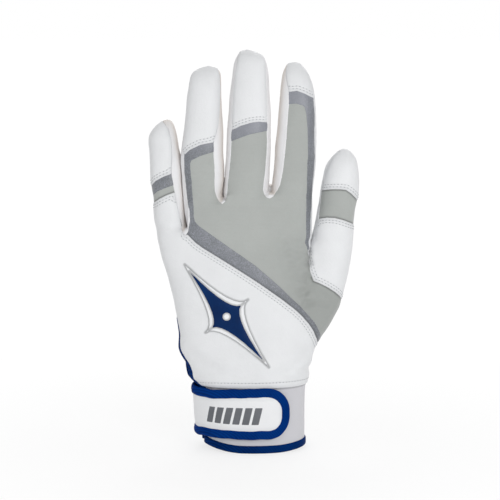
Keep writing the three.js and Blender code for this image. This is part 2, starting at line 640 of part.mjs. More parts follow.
// The hand's panels and the cuff's
const panels = handShell.subtract(slitFold(tapeFold));
const handPanels = panels.subtract(crotchCuts).intersect(level(cuffHeight + halfGap, farUp));
const cuffPanels = panels.intersect(level(tapeFold, cuffHeight - halfGap));
const bandLow = bandLowShares.map(palmPlace);
const bandHigh = bandHighShares.map(palmPlace);
const indexSide = (shift) => rightOf(moved(indexEdge, shift, 0)).intersect(level(thumbRoot.z + shift, farUp));
const handBack = handPanels.intersect(backSide).subtract(thumbPanelSide(-halfGap));
const knuckles = handBack.intersect(aboveBand(bandHigh, halfGap));
const diagonal = handBack.intersect(aboveBand(bandLow, halfGap)).subtract(aboveBand(bandHigh, -halfGap));
part('hand_back_panel', knuckles.subtract(indexSide(-halfGap)), greyPanel);
part('side_band', knuckles.intersect(indexSide(halfGap)), darkBand);
part('diagonal_band', diagonal, darkBand);
part('wrist_back_panel', handBack.subtract(aboveBand(bandLow, -halfGap)), whiteLeather);
part('palm_panel', handPanels.intersect(palmSide), whiteLeather);
part('cuff_back', cuffPanels.intersect(backSide), whiteCloth);
part('cuff_palm', cuffPanels.intersect(palmSide), whiteCloth);

// Tape folded over the hem, and over the slit's edge all the way round
const skin = (out, deep) => handBody(out).subtract(handBody(-deep, -hemTurn));
const tapeSkin = skin(tapeFold, leather + tapeFold);
const groove = skin(tapeRoom, leather + tapeRoom);
const hem = tapeSkin.intersect(level(0, hemTapeWidth)).subtract(groove.intersect(level(tape, cutOverrun)));
part('cuff_hem_binding', hem.subtract(slit), blueTape);
const slitTape = tapeSkin.intersect(slitFold(slitTapeWidth)).subtract(slit);
const slitTapeAboveHem = slitTape.intersect(level(hemTapeWidth + seamGap, cutOverrun));
part('slit_binding', slitTapeAboveHem.subtract(groove.subtract(slitFold(tape))), blueTape);

// A patch that follows the cuff, between two angles
function patch([from, to], steps, lowAt, highAt, liftAt, thick) {
  const rows = Array.from({ length: steps + 1 }, (_, i) => {
    const degrees = from + (i / steps) * (to - from);
    const at = (z, offset) => ringPoint(handSection(Math.min(z, cuffHeight)), radians(degrees), z, offset);
    const low = lowAt(degrees);
    const high = highAt(degrees);
    const lift = liftAt(degrees);
    return [at(low, lift), at(low, lift + thick), at(high, lift + thick), at(high, lift)];
  });
  return solid(loft(rows));
}
function belt(angles, steps, low, high, lift, thick) {
  return patch(angles, steps, () => low, () => high, () => lift, thick);
}
const elasticTop = cuffHeight - seamGap;
const elasticLift = -leather - seamGap - elasticThick;
const elasticBelt = belt(elasticAngles, 12, elasticTop - elasticWidth, elasticTop, elasticLift, elasticThick);
part('wrist_elastic', elasticBelt, whitePile);

// Strap: a sheet that wraps the slit and lies on the back of the cuff, with a round end
const arcPerDegree = (radians(1) * (cuffHalfWidth + cuffHalfDepth)) / 2;
const strapMiddle = (strapBottom + strapTop) / 2;
const strapLift = 3 * pileGap + 2 * pileThick;
const strapRootLift = tapeFold + strapRootGap;
const strapLiftAt = (degrees) => {
  const settled = THREE.MathUtils.smoothstep(degrees, strapRootAngle, strapRootAngle + strapSettleAngle);
  return strapRootLift + (strapLift - strapRootLift) * settled;
};
const strapHalfAt = (degrees, inset) => {
  const radius = strapEndRadius - inset;
  const square = (strapTop - strapBottom) / 2 - strapEndRadius;
  const left = Math.max(0, (strapEndAngle - degrees) * arcPerDegree - inset);
  const short = Math.max(0, radius - left);
  return square + Math.sqrt(Math.max(0, radius ** 2 - short ** 2));
};
const strapSheet = (from, inset, liftAt, thick) => {
  const to = strapEndAngle - (inset + strapEndTrim) / arcPerDegree;
  const low = (degrees) => strapMiddle - strapHalfAt(degrees, inset);
  const high = (degrees) => strapMiddle + strapHalfAt(degrees, inset);
  return patch([from, to], strapSteps, low, high, liftAt, thick);
};
const strapStart = strapRootAngle + halfGap / arcPerDegree;
const strapCutStart = strapStart - leather / arcPerDegree;
const folded = strapSheet(strapStart, 0, (a) => strapLiftAt(a) - tapeFold, strapThick + 2 * tapeFold);
const windowDepth = strapThick + 4 * tapeFold;
const window = strapSheet(strapCutStart, strapTapeWidth, (a) => strapLiftAt(a) - 2 * tapeFold, windowDepth);
const pocket = strapSheet(strapCutStart, tape, (a) => strapLiftAt(a) - tapeRoom, strapThick + 2 * tapeRoom);
part('strap', strapSheet(strapStart, tapeFold, strapLiftAt, strapThick), whiteLeather);
part('strap_binding', folded.subtract(window).subtract(pocket), blueTape);
const hookLift = 2 * pileGap + pileThick;
part('hook_patch', strapSheet(hookAngle, strapTapeWidth + hookMargin, () => hookLift, pileThick), whitePile);
const loopBelt = belt(loopAngles, 10, strapBottom + loopMargin, strapTop - loopMargin, pileGap, pileThick);
part('loop_patch', loopBelt, whitePile);
const rootAngles = [strapSeatAngle, strapRootAngle - halfGap / arcPerDegree];
const rootBelt = belt(rootAngles, 5, strapBottom + tapeFold, strapTop - tapeFold, seamGap, strapRootThick);
part('strap_root', rootBelt, whiteLeather);

// The badge and its border lie on the back of the hand
const [badgeX, badgeZ] = palmPlace(badgeShares);
function star(grow) {
  const [longShare, wideShare] = borderPointShares;
  const long = badgeLong + longShare * grow;
  const wide = badgeWide + wideShare * grow;
  const [waistAcross, waistAlong] = badgeWaist.map((size) => size + grow);
  const corners = [
    [0, long], [waistAcross, waistAlong], [wide, 0], [waistAcross, -waistAlong],
    [0, -long], [-waistAcross, -waistAlong], [-wide, 0], [-waistAcross, waistAlong],
  ];
  const tilt = radians(badgeTilt);
  const turned = corners.map(([u, v]) => new THREE.Vector2(u, v).rotateAround(new THREE.Vector2(), tilt).toArray());
  return moved(turned, badgeX, badgeZ);
}
const overHand = (from, thick) => handBody(from + thick).subtract(handBody(from, -hemTurn));
const starCut = outline(star(0));
starCut.holes.push(new THREE.Path().absarc(badgeX, badgeZ, badgeHole, 0, 2 * Math.PI));
const borderCut = seenFromBack(star(borderWidth), -cutOverrun, 0);
part('badge_border', overHand(seamGap, borderThick).intersect(borderCut), whiteLeather);
const badgeLift = 2 * seamGap + borderThick;
part('badge', overHand(badgeLift, badgeThick).intersect(seenFromBack(starCut, -cutOverrun, 0)), blueBadge);

// The origin is at the middle of the glove's box, on the floor
const box = new THREE.Box3().setFromObject(glove);
const centre = box.getCenter(new THREE.Vector3());
glove.position.set(-centre.x, -centre.y, -box.min.z);

export default glove;
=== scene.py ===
import bpy
import json
import math
import numpy as np
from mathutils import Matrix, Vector, kdtree


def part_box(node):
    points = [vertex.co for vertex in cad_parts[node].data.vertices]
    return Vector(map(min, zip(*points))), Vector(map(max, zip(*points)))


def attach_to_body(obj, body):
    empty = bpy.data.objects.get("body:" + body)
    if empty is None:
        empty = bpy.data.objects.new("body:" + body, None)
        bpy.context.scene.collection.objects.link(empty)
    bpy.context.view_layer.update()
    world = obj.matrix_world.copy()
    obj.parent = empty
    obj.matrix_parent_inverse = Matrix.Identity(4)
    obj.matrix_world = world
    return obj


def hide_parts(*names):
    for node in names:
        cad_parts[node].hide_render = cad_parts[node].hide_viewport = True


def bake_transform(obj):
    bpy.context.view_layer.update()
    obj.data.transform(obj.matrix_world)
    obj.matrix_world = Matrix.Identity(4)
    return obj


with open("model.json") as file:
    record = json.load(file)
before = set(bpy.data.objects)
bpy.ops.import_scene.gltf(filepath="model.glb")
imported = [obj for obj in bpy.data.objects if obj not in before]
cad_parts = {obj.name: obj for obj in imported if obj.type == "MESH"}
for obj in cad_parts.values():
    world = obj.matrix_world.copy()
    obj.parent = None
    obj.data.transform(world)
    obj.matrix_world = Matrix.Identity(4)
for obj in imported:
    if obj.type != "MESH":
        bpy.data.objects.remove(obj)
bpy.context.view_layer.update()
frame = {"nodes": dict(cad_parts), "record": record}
print("frame loaded")

# The photo's view. Lengths here and in every dictionary below are millimetres
view = {"distance": 1500, "lift": 9.0, "aimX": -2.6, "aimZ": 114.3, "mmPerPixel": 0.569, "pixels": 500}

low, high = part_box("cuff_hem_binding")
shift = np.array([(low.x + high.x) * 500 - 2.2, (low.y + high.y) * 500, 0.0])


def pixelsOf(points):
    lift = math.radians(view["lift"])
    reach = view["distance"]
    away = points - np.array([view["aimX"], -reach * math.cos(lift), view["aimZ"] + reach * math.sin(lift)])
    depth = away[:, 1] * math.cos(lift) - away[:, 2] * math.sin(lift)
    up = away[:, 1] * math.sin(lift) + away[:, 2] * math.cos(lift)
    scale, middle = reach / view["mmPerPixel"], view["pixels"] / 2
    return np.stack([middle + away[:, 0] / depth * scale, middle - up / depth * scale], 1)


def placeCamera():
    lift = math.radians(view["lift"])
    data = bpy.data.cameras.new("camera")
    camera = bpy.data.objects.new("camera", data)
    bpy.context.scene.collection.objects.link(camera)
    reach = view["distance"] / 1000
    camera.location = (view["aimX"] / 1000, -reach * math.cos(lift), view["aimZ"] / 1000 + reach * math.sin(lift))
    camera.rotation_euler = (math.pi / 2 - lift, 0, 0)
    data.sensor_width = 36
    data.lens = data.sensor_width * view["distance"] / (view["pixels"] * view["mmPerPixel"])
    data.clip_start = 0.05
    bpy.context.scene.camera = camera


placeCamera()

# Rows of the hand: height, middle, half width, half depths to the back and palm, squareness
hand = {
    "rows": [
        [-8, 2.2, 29.2, 20.5, 20.5, 2.05], [0, 2.2, 29.2, 20.5, 20.5, 2.05], [20, 2.2, 29.2, 20.5, 20.5, 2.05],
        [35, 2.0, 29.6, 20.4, 20.5, 2.05], [37.5, 1.0, 31.1, 20.3, 20.4, 2.05], [41.5, -0.85, 33.7, 19.6, 20.2, 2.1],
        [44.5, -1.0, 34.3, 18.6, 19.8, 2.1], [49.3, -1.1, 35.0, 17.4, 19.2, 2.15],
        [53.8, -1.5, 37.1, 16.4, 19.0, 2.2],
        [58, -1.5, 38.4, 15.9, 19.3, 2.25], [66.8, -0.9, 38.9, 15.3, 19.6, 2.35], [84.7, -3.4, 39.3, 15.0, 18.5, 2.5],
        [98.3, -5.6, 40.3, 14.6, 16.8, 2.6], [111.7, -8.3, 41.6, 13.8, 14.8, 2.6], [125, -9.1, 43.6, 12.6, 12.8, 2.6],
        [138.5, -9.1, 44.0, 11.2, 11.2, 2.6], [151, -8.9, 44.1, 10.1, 10.3, 2.6],
    ],
    "sides": 110, "step": 1.5, "foot": -8, "splitFrom": 108,
    "crotches": {"pinkyRing": [-34.7, 126.9], "ringMiddle": [-13.2, 143.4], "middleIndex": [11.9, 146.9]},
}

# Fingers. Rows: share of the length, side shift, width and depth as shares of the half widths
fingers = {
    "pinky": {
        "root": 127.7, "length": 59, "x": -44.9, "y": 1.6, "halfWidth": 8.4, "halfDepth": 8.6, "curl": 7,
        "rows": [
            [-0.3, 0.4, 0.82, 0.95], [0, 0, 1, 1.06], [0.27, -0.15, 0.99, 1], [0.417, -0.27, 1.03, 0.99],
            [0.57, -0.31, 1.01, 0.97], [0.72, -0.43, 0.94, 0.92], [0.797, -0.5, 0.93, 0.88],
            [0.873, -0.52, 0.85, 0.8], [0.949, -0.4, 0.58, 0.58], [1, -0.26, 0.26, 0.2],
        ],
    },
    "ring": {
        "root": 142.1, "length": 74.4, "x": -25.9, "y": 0.2, "halfWidth": 11.4, "halfDepth": 9.9, "curl": 8,
        "rows": [
            [-0.3, 0.1, 0.88, 0.9], [0, -0.06, 0.86, 1.05], [0.137, -0.03, 0.95, 1.03], [0.256, -0.05, 0.985, 1],
            [0.375, -0.1, 0.995, 0.99], [0.554, -0.03, 0.925, 0.96], [0.672, -0.01, 0.86, 0.92],
            [0.792, 0, 0.81, 0.86], [0.85, 0.03, 0.775, 0.8], [0.911, 0.06, 0.74, 0.7], [0.969, 0.12, 0.65, 0.5],
            [1, 0.22, 0.42, 0.2],
        ],
    },
    "middle": {
        "root": 147.5, "length": 78.5, "x": -1.4, "y": -0.4, "halfWidth": 11.85, "halfDepth": 10.1, "curl": 8,
        "rows": [
            [-0.3, 0, 0.97, 0.92], [0, -0.07, 1.04, 1.05], [0.067, -0.03, 1.02, 1.03], [0.294, 0.05, 1.01, 1],
            [0.465, 0.08, 0.99, 0.98], [0.577, 0.11, 0.955, 0.95], [0.691, 0.11, 0.905, 0.91],
            [0.805, 0.14, 0.84, 0.84], [0.918, 0.14, 0.74, 0.68], [0.975, 0.12, 0.57, 0.48], [1, 0, 0.34, 0.2],
        ],
    },
    "index": {
        "root": 147.5, "length": 71.5, "x": 24.0, "y": 0.6, "halfWidth": 11.2, "halfDepth": 9.9, "curl": 8,
        "rows": [
            [-0.3, -0.1, 0.97, 0.92], [0, 0, 1, 1.06], [0.13, 0.08, 1, 1.03], [0.256, 0.15, 0.99, 1],
            [0.38, 0.18, 0.975, 0.99], [0.506, 0.23, 0.93, 0.96], [0.694, 0.27, 0.87, 0.91],
            [0.818, 0.25, 0.785, 0.82], [0.883, 0.21, 0.69, 0.72], [0.944, 0.15, 0.56, 0.55], [1, 0.08, 0.32, 0.2],
        ],
    },
    "thumb": {
        "root": 48, "length": 122, "x": 20, "y": 4, "halfWidth": 12, "halfDepth": 12, "curl": 5,
        "rows": [
            [0, 0, 1, 1], [0.107, 0.37, 1.21, 1.2], [0.195, 0.86, 1.32, 1.25], [0.267, 1.19, 1.35, 1.22],
            [0.323, 1.38, 1.32, 1.17], [0.415, 1.71, 1.225, 1.06], [0.488, 2.03, 1.04, 0.96],
            [0.548, 2.16, 0.99, 0.9], [0.634, 2.32, 0.9, 0.85], [0.708, 2.43, 0.86, 0.82], [0.782, 2.56, 0.865, 0.8],
            [0.855, 2.64, 0.83, 0.74], [0.929, 2.7, 0.7, 0.6], [0.965, 2.77, 0.53, 0.45], [0.992, 2.79, 0.28, 0.25],
            [1, 2.79, 0.16, 0.12],
        ],
    },
}
thumbBend = {"root": [33.4, 115.0], "rootTilt": 57, "tip": [50.9, 145.6], "tipTilt": 7}
# Low webs between the fingers: middle across and through, half width, half depth, top
webs = [[-37.2, 5, 2.6, 4, 137], [-15, 5, 2.8, 4.4, 154.4], [11.4, 5, 2.6, 4.6, 150.2]]
# Sections of the fingers and of the webs between them
stall = {
    "sides": 56, "rings": 56, "tipShares": [0.975, 0.985, 0.993], "square": 2.4, "dome": 0.15,
    "webSides": 40, "webFoot": 128,
}
knuckleHeight = {"pinky": 153.66, "ring": 171.09, "middle": 184.0, "index": 177.53}


def rowAt(rows, height):
    i = 0
    while i < len(rows) - 2 and rows[i + 1][0] < height:
        i += 1
    slope = lambda k: [
        (b - a) / (rows[min(len(rows) - 1, k + 1)][0] - rows[max(0, k - 1)][0])
        for a, b in zip(rows[max(0, k - 1)], rows[min(len(rows) - 1, k + 1)])
    ]
    step = rows[i + 1][0] - rows[i][0]
    t = min(1, max(0, (height - rows[i][0]) / step))
    start, end = slope(i), slope(i + 1)
    out = []
    for a, b, s, e in zip(rows[i], rows[i + 1], start, end):
        s, e = s * step, e * step
        out.append(a + t * (s + t * (3 * (b - a) - 2 * s - e + t * (2 * (a - b) + s + e))))
    return out


def ringPoints(x, y, width, back, palm, square, z, count):
    angle = np.arange(count) / count * 2 * math.pi
    across, through = np.cos(angle), np.sin(angle)
    bend = 2 / square
    depth = np.where(through > 0, palm, back)
    px = x + width * np.sign(across) * np.abs(across) ** bend
    py = y + depth * np.sign(through) * np.abs(through) ** bend
    return np.stack([px + shift[0], py + shift[1], np.full(count, float(z))], 1)


def handRing(z):
    _, x, width, back, palm, square = rowAt(hand["rows"], z)
    return ringPoints(x, 0, width, back, palm, square, z, hand["sides"])


def stallSize(f, z):
    height = (z - f["root"]) / f["length"]
    _, side, width, depth = rowAt(f["rows"], height)
    y = f["y"] + f["curl"] * max(0, height) ** 2
    return f["x"] + side * f["halfWidth"], y, width * f["halfWidth"], depth * f["halfDepth"]


def loft(rings, dome=0.0):
    count = len(rings[0])
    crown = rings[-1].mean(0) + np.array([0, 0, dome * np.ptp(rings[-1][:, 0])])
    points = [*rings, rings[0].mean(0)[None], crown[None]]
    faces = []
    for r in range(len(rings) - 1):
        for k in range(count):
            n = (k + 1) % count
            faces.append((r * count + k, r * count + n, (r + 1) * count + n, (r + 1) * count + k))
    foot, top = len(rings) * count, len(rings) * count + 1
    last = (len(rings) - 1) * count
    for k in range(count):
        n = (k + 1) % count
        faces.append((foot, n, k))
        faces.append((top, last + k, last + n))
    return np.concatenate(points), faces


# The flanks of the little finger and the ring finger are first kept apart, so that no skin bridges the
# slit between them, and then close on each other, one before the other
closing = {
    "low": 128, "high": 172, "top": 184, "fade": 8, "apart": 1.05, "push": 1.05, "reach": 4,
    "pinkyY": 5, "ringY": -2.5, "deep": 3.6, "span": [-60, -20], "from": 127, "inner": -22,
    "rows": [126, 186, 21],
}


def slitLine(z):
    # Halfway between the two flanks
    rows = np.linspace(*closing["rows"])
    pinky, ring = ([stallSize(fingers[name], row) for row in rows] for name in ("pinky", "ring"))
    return np.interp(z, rows, [(a[0] + a[2] + b[0] - b[2]) / 2 for a, b in zip(pinky, ring)])


def bodyParts():
    lofts = []
    steps = lambda a, b: np.linspace(a, b, int((b - a) / hand["step"]) + 2)
    crotches = hand["crotches"]
    lofts.append(loft([handRing(z) for z in steps(hand["foot"], crotches["pinkyRing"][1])]))
    for side, top in (("pinkyRing", "ringMiddle"), ("ringMiddle", "middleIndex")):
        rings = []
        for z in steps(hand["splitFrom"], crotches[top][1]):
            ring = handRing(z)
            ring[:, 0] = np.maximum(ring[:, 0], crotches[side][0] + shift[0])
            rings.append(ring)
        lofts.append(loft(rings))
    for name, f in fingers.items():
        rings = []
        for share in sorted([*np.linspace(f["rows"][0][0], 1, stall["rings"]), *stall["tipShares"]]):
            z = f["root"] + share * f["length"]
            x, y, width, depth = stallSize(f, z)
            ring = ringPoints(x, y, width, depth, depth, stall["square"], z, stall["sides"])
            wall = slitLine(z) + shift[0]
            if name == "pinky" and z > closing["low"]:
                ring[:, 0] = np.minimum(ring[:, 0], wall - closing["apart"])
            if name == "ring" and closing["low"] < z < closing["top"]:
                ring[:, 0] = np.maximum(ring[:, 0], wall + closing["apart"])
            rings.append(ring)
        lofts.append(loft(rings, stall["dome"]))
    for x, y, width, depth, top in webs:
        rings = [ringPoints(x, y, width, depth, depth, stall["square"], z, stall["webSides"])
                 for z in steps(stall["webFoot"], top)]
        lofts.append(loft(rings))
    return lofts


def arraysOf(mesh):
    mesh.calc_loop_triangles()
    points = np.zeros(len(mesh.vertices) * 3)
    mesh.vertices.foreach_get("co", points)
    triangles = np.zeros(len(mesh.loop_triangles) * 3, np.int32)
    mesh.loop_triangles.foreach_get("vertices", triangles)
    return points.reshape(-1, 3) * 1000, triangles.reshape(-1, 3)


def deselect():
    for obj in bpy.context.selected_objects:
        obj.select_set(False)


def skinBody(lofts, voxel):
    points, faces, base = [], [], 0
    for p, f in lofts:
        points.append(p)
        faces += [tuple(base + i for i in face) for face in f]
        base += len(p)
    mesh = bpy.data.meshes.new("body")
    mesh.from_pydata((np.concatenate(points) / 1000).tolist(), [], faces)
    obj = bpy.data.objects.new("body", mesh)
    bpy.context.scene.collection.objects.link(obj)
    deselect()
    obj.select_set(True)
    bpy.context.view_layer.objects.active = obj
    remesh = obj.modifiers.new("remesh", "REMESH")
    remesh.mode = "VOXEL"
    remesh.voxel_size = voxel / 1000
    bpy.ops.object.modifier_apply(modifier="remesh")
    out = arraysOf(obj.data)
    bpy.data.objects.remove(obj)
    return out


def neighbours(triangles):
    edges = np.concatenate([triangles[:, [0, 1]], triangles[:, [1, 2]], triangles[:, [2, 0]]])
    return np.unique(np.sort(edges, 1), axis=0)


def neighbourMean(values, edges):
    total = np.zeros_like(values)
    np.add.at(total, edges[:, 0], values[edges[:, 1]])
    np.add.at(total, edges[:, 1], values[edges[:, 0]])
    return total / np.bincount(edges.ravel(), minlength=len(values)).astype(float)[:, None]


def relax(points, edges, rounds):
    # Smooths without shrinking: a pull in, then a slightly larger push out
    for _ in range(rounds):
        for factor in (0.5, -0.52):
            points = points + factor * (neighbourMean(points, edges) - points)
    return points


def soften(points, edges, weight, rounds):
    # Plain smoothing where the weight is over zero
    part = edges[(weight[edges] > 0.02).any(1)]
    used, place = np.unique(part, return_inverse=True)
    a, b = place.reshape(-1, 2).T
    own, pull = points[used], 0.5 * weight[used][:, None]
    degree = np.bincount(place.ravel(), minlength=len(used))[:, None]
    for _ in range(rounds):
        total = [np.bincount(a, own[b, k], len(used)) + np.bincount(b, own[a, k], len(used)) for k in range(3)]
        own = own + pull * (np.stack(total, 1) / degree - own)
    out = points.copy()
    out[used] = own
    return out


# Where the hand ends and the fingers go on: height smoothed, side limit, and how far from a crotch it starts
handEnd = {"reach": 6, "side": 40, "clear": 1.4, "fade": 2.2}


def stepWeight(points):
    crotches = hand["crotches"]
    x = points[:, 0] - shift[0]
    end = np.select([x < crotches["pinkyRing"][0], x < crotches["ringMiddle"][0]],
                    [crotches["pinkyRing"][1], crotches["ringMiddle"][1]], crotches["middleIndex"][1])
    away = np.min([np.abs(x - c[0]) for c in crotches.values()], axis=0)
    near = np.exp(-((points[:, 2] - end) / handEnd["reach"]) ** 2)
    return near * (x < handEnd["side"]) * np.clip((away - handEnd["clear"]) / handEnd["fade"], 0, 1)


def closeSlit(points):
    x, y, z = (points - shift).T
    between = slitLine(z)
    rising = np.clip((z - closing["low"]) / closing["fade"], 0, 1)
    run = rising * np.clip((closing["high"] - z) / closing["fade"], 0, 1)
    near = np.exp(-((x - between) / closing["reach"]) ** 2) * run
    near = near * (x > closing["span"][0]) * (x < closing["span"][1])
    left = (x < between) * np.exp(-((y - closing["pinkyY"]) / closing["deep"]) ** 2)
    right = (x >= between) * np.exp(-((y - closing["ringY"]) / closing["deep"]) ** 2)
    out = points.copy()
    out[:, 0] += closing["push"] * near * (left - right)
    return out


def normalsOf(points, triangles):
    a, b, c = (points[triangles[:, k]] for k in range(3))
    face = np.cross(b - a, c - a)
    out = np.zeros_like(points)
    for k in range(3):
        np.add.at(out, triangles[:, k], face)
    return out / np.maximum(np.linalg.norm(out, axis=1), 1e-9)[:, None]


def blurred(values, edges, rounds):
    for _ in range(rounds):
        values = 0.5 * values + 0.5 * neighbourMean(values, edges)
    return values


# The seams, read off the photo, in its pixels. First the lines that two panels share
shared = {
    "diagonal": [
        [187.8, 234.5], [191, 238], [196, 243], [203, 248], [220, 258.5], [240, 271], [260, 284], [280, 298],
        [295, 309.5], [303, 317], [309, 324], [313.5, 331], [316, 338], [317.3, 345],
    ],
    "ring": [[184.5, 155.5], [190, 150], [200, 145], [212.5, 142.5]],
    "middle": [[224, 134], [232.7, 130], [240, 126.3], [250, 123], [258, 121.8]],
    "index": [[289.3, 92], [297, 91], [305, 94], [310.5, 97]],
    "pinkyHigh": [[140, 198], [151, 186.5], [156, 181], [163, 177], [171, 174], [178, 173]],
    "pinkyLow": [[140, 207], [152, 195], [157, 190.5], [165, 187], [172.2, 184.5], [178, 183]],
    "thumbHigh": [
        [319, 190.7], [330, 189.5], [340, 189.3], [346, 190], [351, 193.5], [355, 197.5], [357.5, 201], [375, 214],
    ],
    "thumbLow": [[319, 219], [327, 217.5], [335, 218], [343, 220], [353, 224], [372, 230]],
}
seams = {
    "gapPinkyRing": [
        [168, 129], [170.5, 138], [171.5, 147], [171.5, 160], [171, 174], [172.5, 183], [174.5, 193], [177, 205],
        [180, 219], [181.6, 229], [183.6, 234.6], [186.5, 235.4], [188.8, 232], [190.3, 222], [190, 210], [188, 195],
        [186.4, 180], [185.6, 170], [185.3, 162], [185.2, 155], [183, 149], [180.3, 146], [180, 118], [180, 60],
        [165, 55], [163, 122],
    ],
    "gapRingMiddle": [
        [219.3, 76], [219.8, 90], [219.3, 108], [218, 125], [215.4, 136], [212.8, 143], [213.6, 160], [214.5, 175],
        [214.3, 185], [214.7, 191], [216.4, 196.8], [218.8, 201.6], [222.2, 204.4], [225.3, 201.8], [226.9, 196.5],
        [227.7, 190], [228.8, 181], [230, 170], [231, 155], [232, 140], [232.7, 129], [233.3, 110], [234, 97],
        [235.6, 76], [238, 60], [241, 48], [214, 44], [216.6, 66],
    ],
    "gapMiddleIndex": [
        [264.6, 62], [265.2, 75], [265.9, 90], [266.3, 108], [266.4, 122.5], [266.5, 140], [266.2, 155], [265, 170],
        [263.3, 182], [262.8, 190], [264.2, 194.6], [266.3, 197.4], [269.3, 198.7], [272.4, 197.3], [275, 194.4],
        [277.9, 189.8], [280.4, 185], [281.8, 178], [283.3, 170], [285, 155], [286.5, 140], [287.5, 125],
        [288.5, 110], [289.3, 103], [289.3, 92], [287.8, 85], [286.4, 76], [286.4, 69], [289, 61], [288, 48],
        [262, 44],
    ],
    "rim": [
        [300, 60], [305, 69], [308.6, 78], [311.4, 88], [312.8, 97], [313.1, 105], [313.8, 115], [313.8, 145],
        [313.3, 170], [312.3, 180], [310.9, 190], [310, 215], [309.3, 230], [307.6, 246], [308.8, 251.5],
        [311.5, 250.5], [314.2, 243], [317.2, 233], [318.9, 220], [320.3, 205], [322, 190.5], [324.3, 183],
        [327.8, 170], [334, 157], [341.5, 150], [344, 60],
    ],
    "whiteBack": [
        [120, 212], [154, 203], [160, 198.5], [167, 195], [174.5, 192.3], [184, 210], *shared["diagonal"],
        [318, 349], [350, 353], [350, 430], [120, 430],
    ],
    "darkBack": [
        *shared["diagonal"][::-1], [182, 225], [180, 190], [178, 157], *shared["ring"], [217, 142], [217, 151],
        [213, 152], [200, 156], [191.4, 160.5], [190.3, 163.5], [190.4, 170], [191.5, 180], [192.6, 195],
        [193.4, 205], [193.8, 217], [195, 221.8], [198, 225.3], [203, 229], [220, 241], [240, 255], [255, 265.5],
        [270, 278.2], [280, 287], [290, 297], [300, 306.5], [308, 315.5], [314, 323], [318, 330.5], [319.7, 336],
        [321, 341], [350, 345], [350, 352], [318, 349],
    ],
    "middleBand": [
        *shared["middle"], [270, 122.6], [270, 129.5], [264, 130.3], [250, 133.2], [240, 136.7], [232, 140],
        [224, 144],
    ],
    "pinkyBand": [*shared["pinkyHigh"], *shared["pinkyLow"][::-1]],
    "pinkyStripe": [
        *shared["pinkyLow"], [178, 191.5], [174.5, 192.3], [167, 195], [160, 198.5], [154, 203], [140, 212],
    ],
    "darkIndex": [
        [280, 91.5], *shared["index"], [320, 101], [322, 180], [316, 252], [307.6, 249], [306.4, 243],
        [306.8, 230], [307.3, 200], [307.6, 185], [308.2, 170], [308.8, 150], [308.5, 130], [307.4, 115],
        [305.8, 107], [303.5, 104.6], [296, 102.5], [290, 103], [280, 103.5],
    ],
    "pinkyCap": [*shared["pinkyHigh"], [178, 110], [140, 110]],
    "ringCap": [[178, 158], *shared["ring"], [224, 141.5], [224, 40], [178, 40]],
    "middleCap": [*shared["middle"], [272, 122.8], [272, 30], [224, 30]],
    "indexCap": [[274, 91.5], *shared["index"], [322, 102], [322, 40], [274, 40]],
    "thumbLow": [
        [316.5, 221], *shared["thumbLow"], [372, 310], [341.5, 300.5], [339, 296], [334, 291.5], [327, 287],
        [320, 283.5], [313.5, 281], [310.7, 273], [309.2, 265], [308.6, 256], [307.8, 249], [311, 240],
    ],
    "thumbFlex": [*shared["thumbHigh"], *shared["thumbLow"][::-1], [314, 221]],
    "thumbCap": [*shared["thumbHigh"], [375, 130], [319, 130]],
    "thumbArea": [
        [308.6, 251], [311.5, 233], [313.3, 221], [315.2, 205], [318, 175], [322, 150], [330, 130], [400, 130],
        [400, 420], [300, 420], [300, 300],
    ],
}
# The lines between the fingers, from the tips down
gapLines = [
    [[178, 40], [180.3, 150], [181.5, 180], [185.5, 226], [185.5, 260]],
    [[225.5, 40], [224.6, 100], [226, 170], [223, 199], [223, 260]],
    [[276, 40], [272.8, 100], [271.5, 160], [269, 190], [269, 260]],
]


def awayFrom(pixels, a, b):
    # Distance to the straight piece between two corners
    run = b - a
    t = np.clip(((pixels - a) @ run) / (run @ run), 0, 1)
    return np.linalg.norm(pixels - a - t[:, None] * run, axis=1)


def inside(pixels, outline, unit=view["mmPerPixel"]):
    # Signed distance to an outline, by default one in the picture, in millimetres, positive inside
    corners = np.array(outline, float)
    best = np.full(len(pixels), 1e9)
    odd = np.zeros(len(pixels), bool)
    for a, b in zip(corners, np.roll(corners, -1, axis=0)):
        best = np.minimum(best, awayFrom(pixels, a, b))
        if a[1] != b[1]:
            crosses = (pixels[:, 1] >= min(a[1], b[1])) & (pixels[:, 1] < max(a[1], b[1]))
            odd ^= crosses & (pixels[:, 0] < a[0] + (pixels[:, 1] - a[1]) / (b[1] - a[1]) * (b[0] - a[0]))
    return np.where(odd, best, -best) * unit


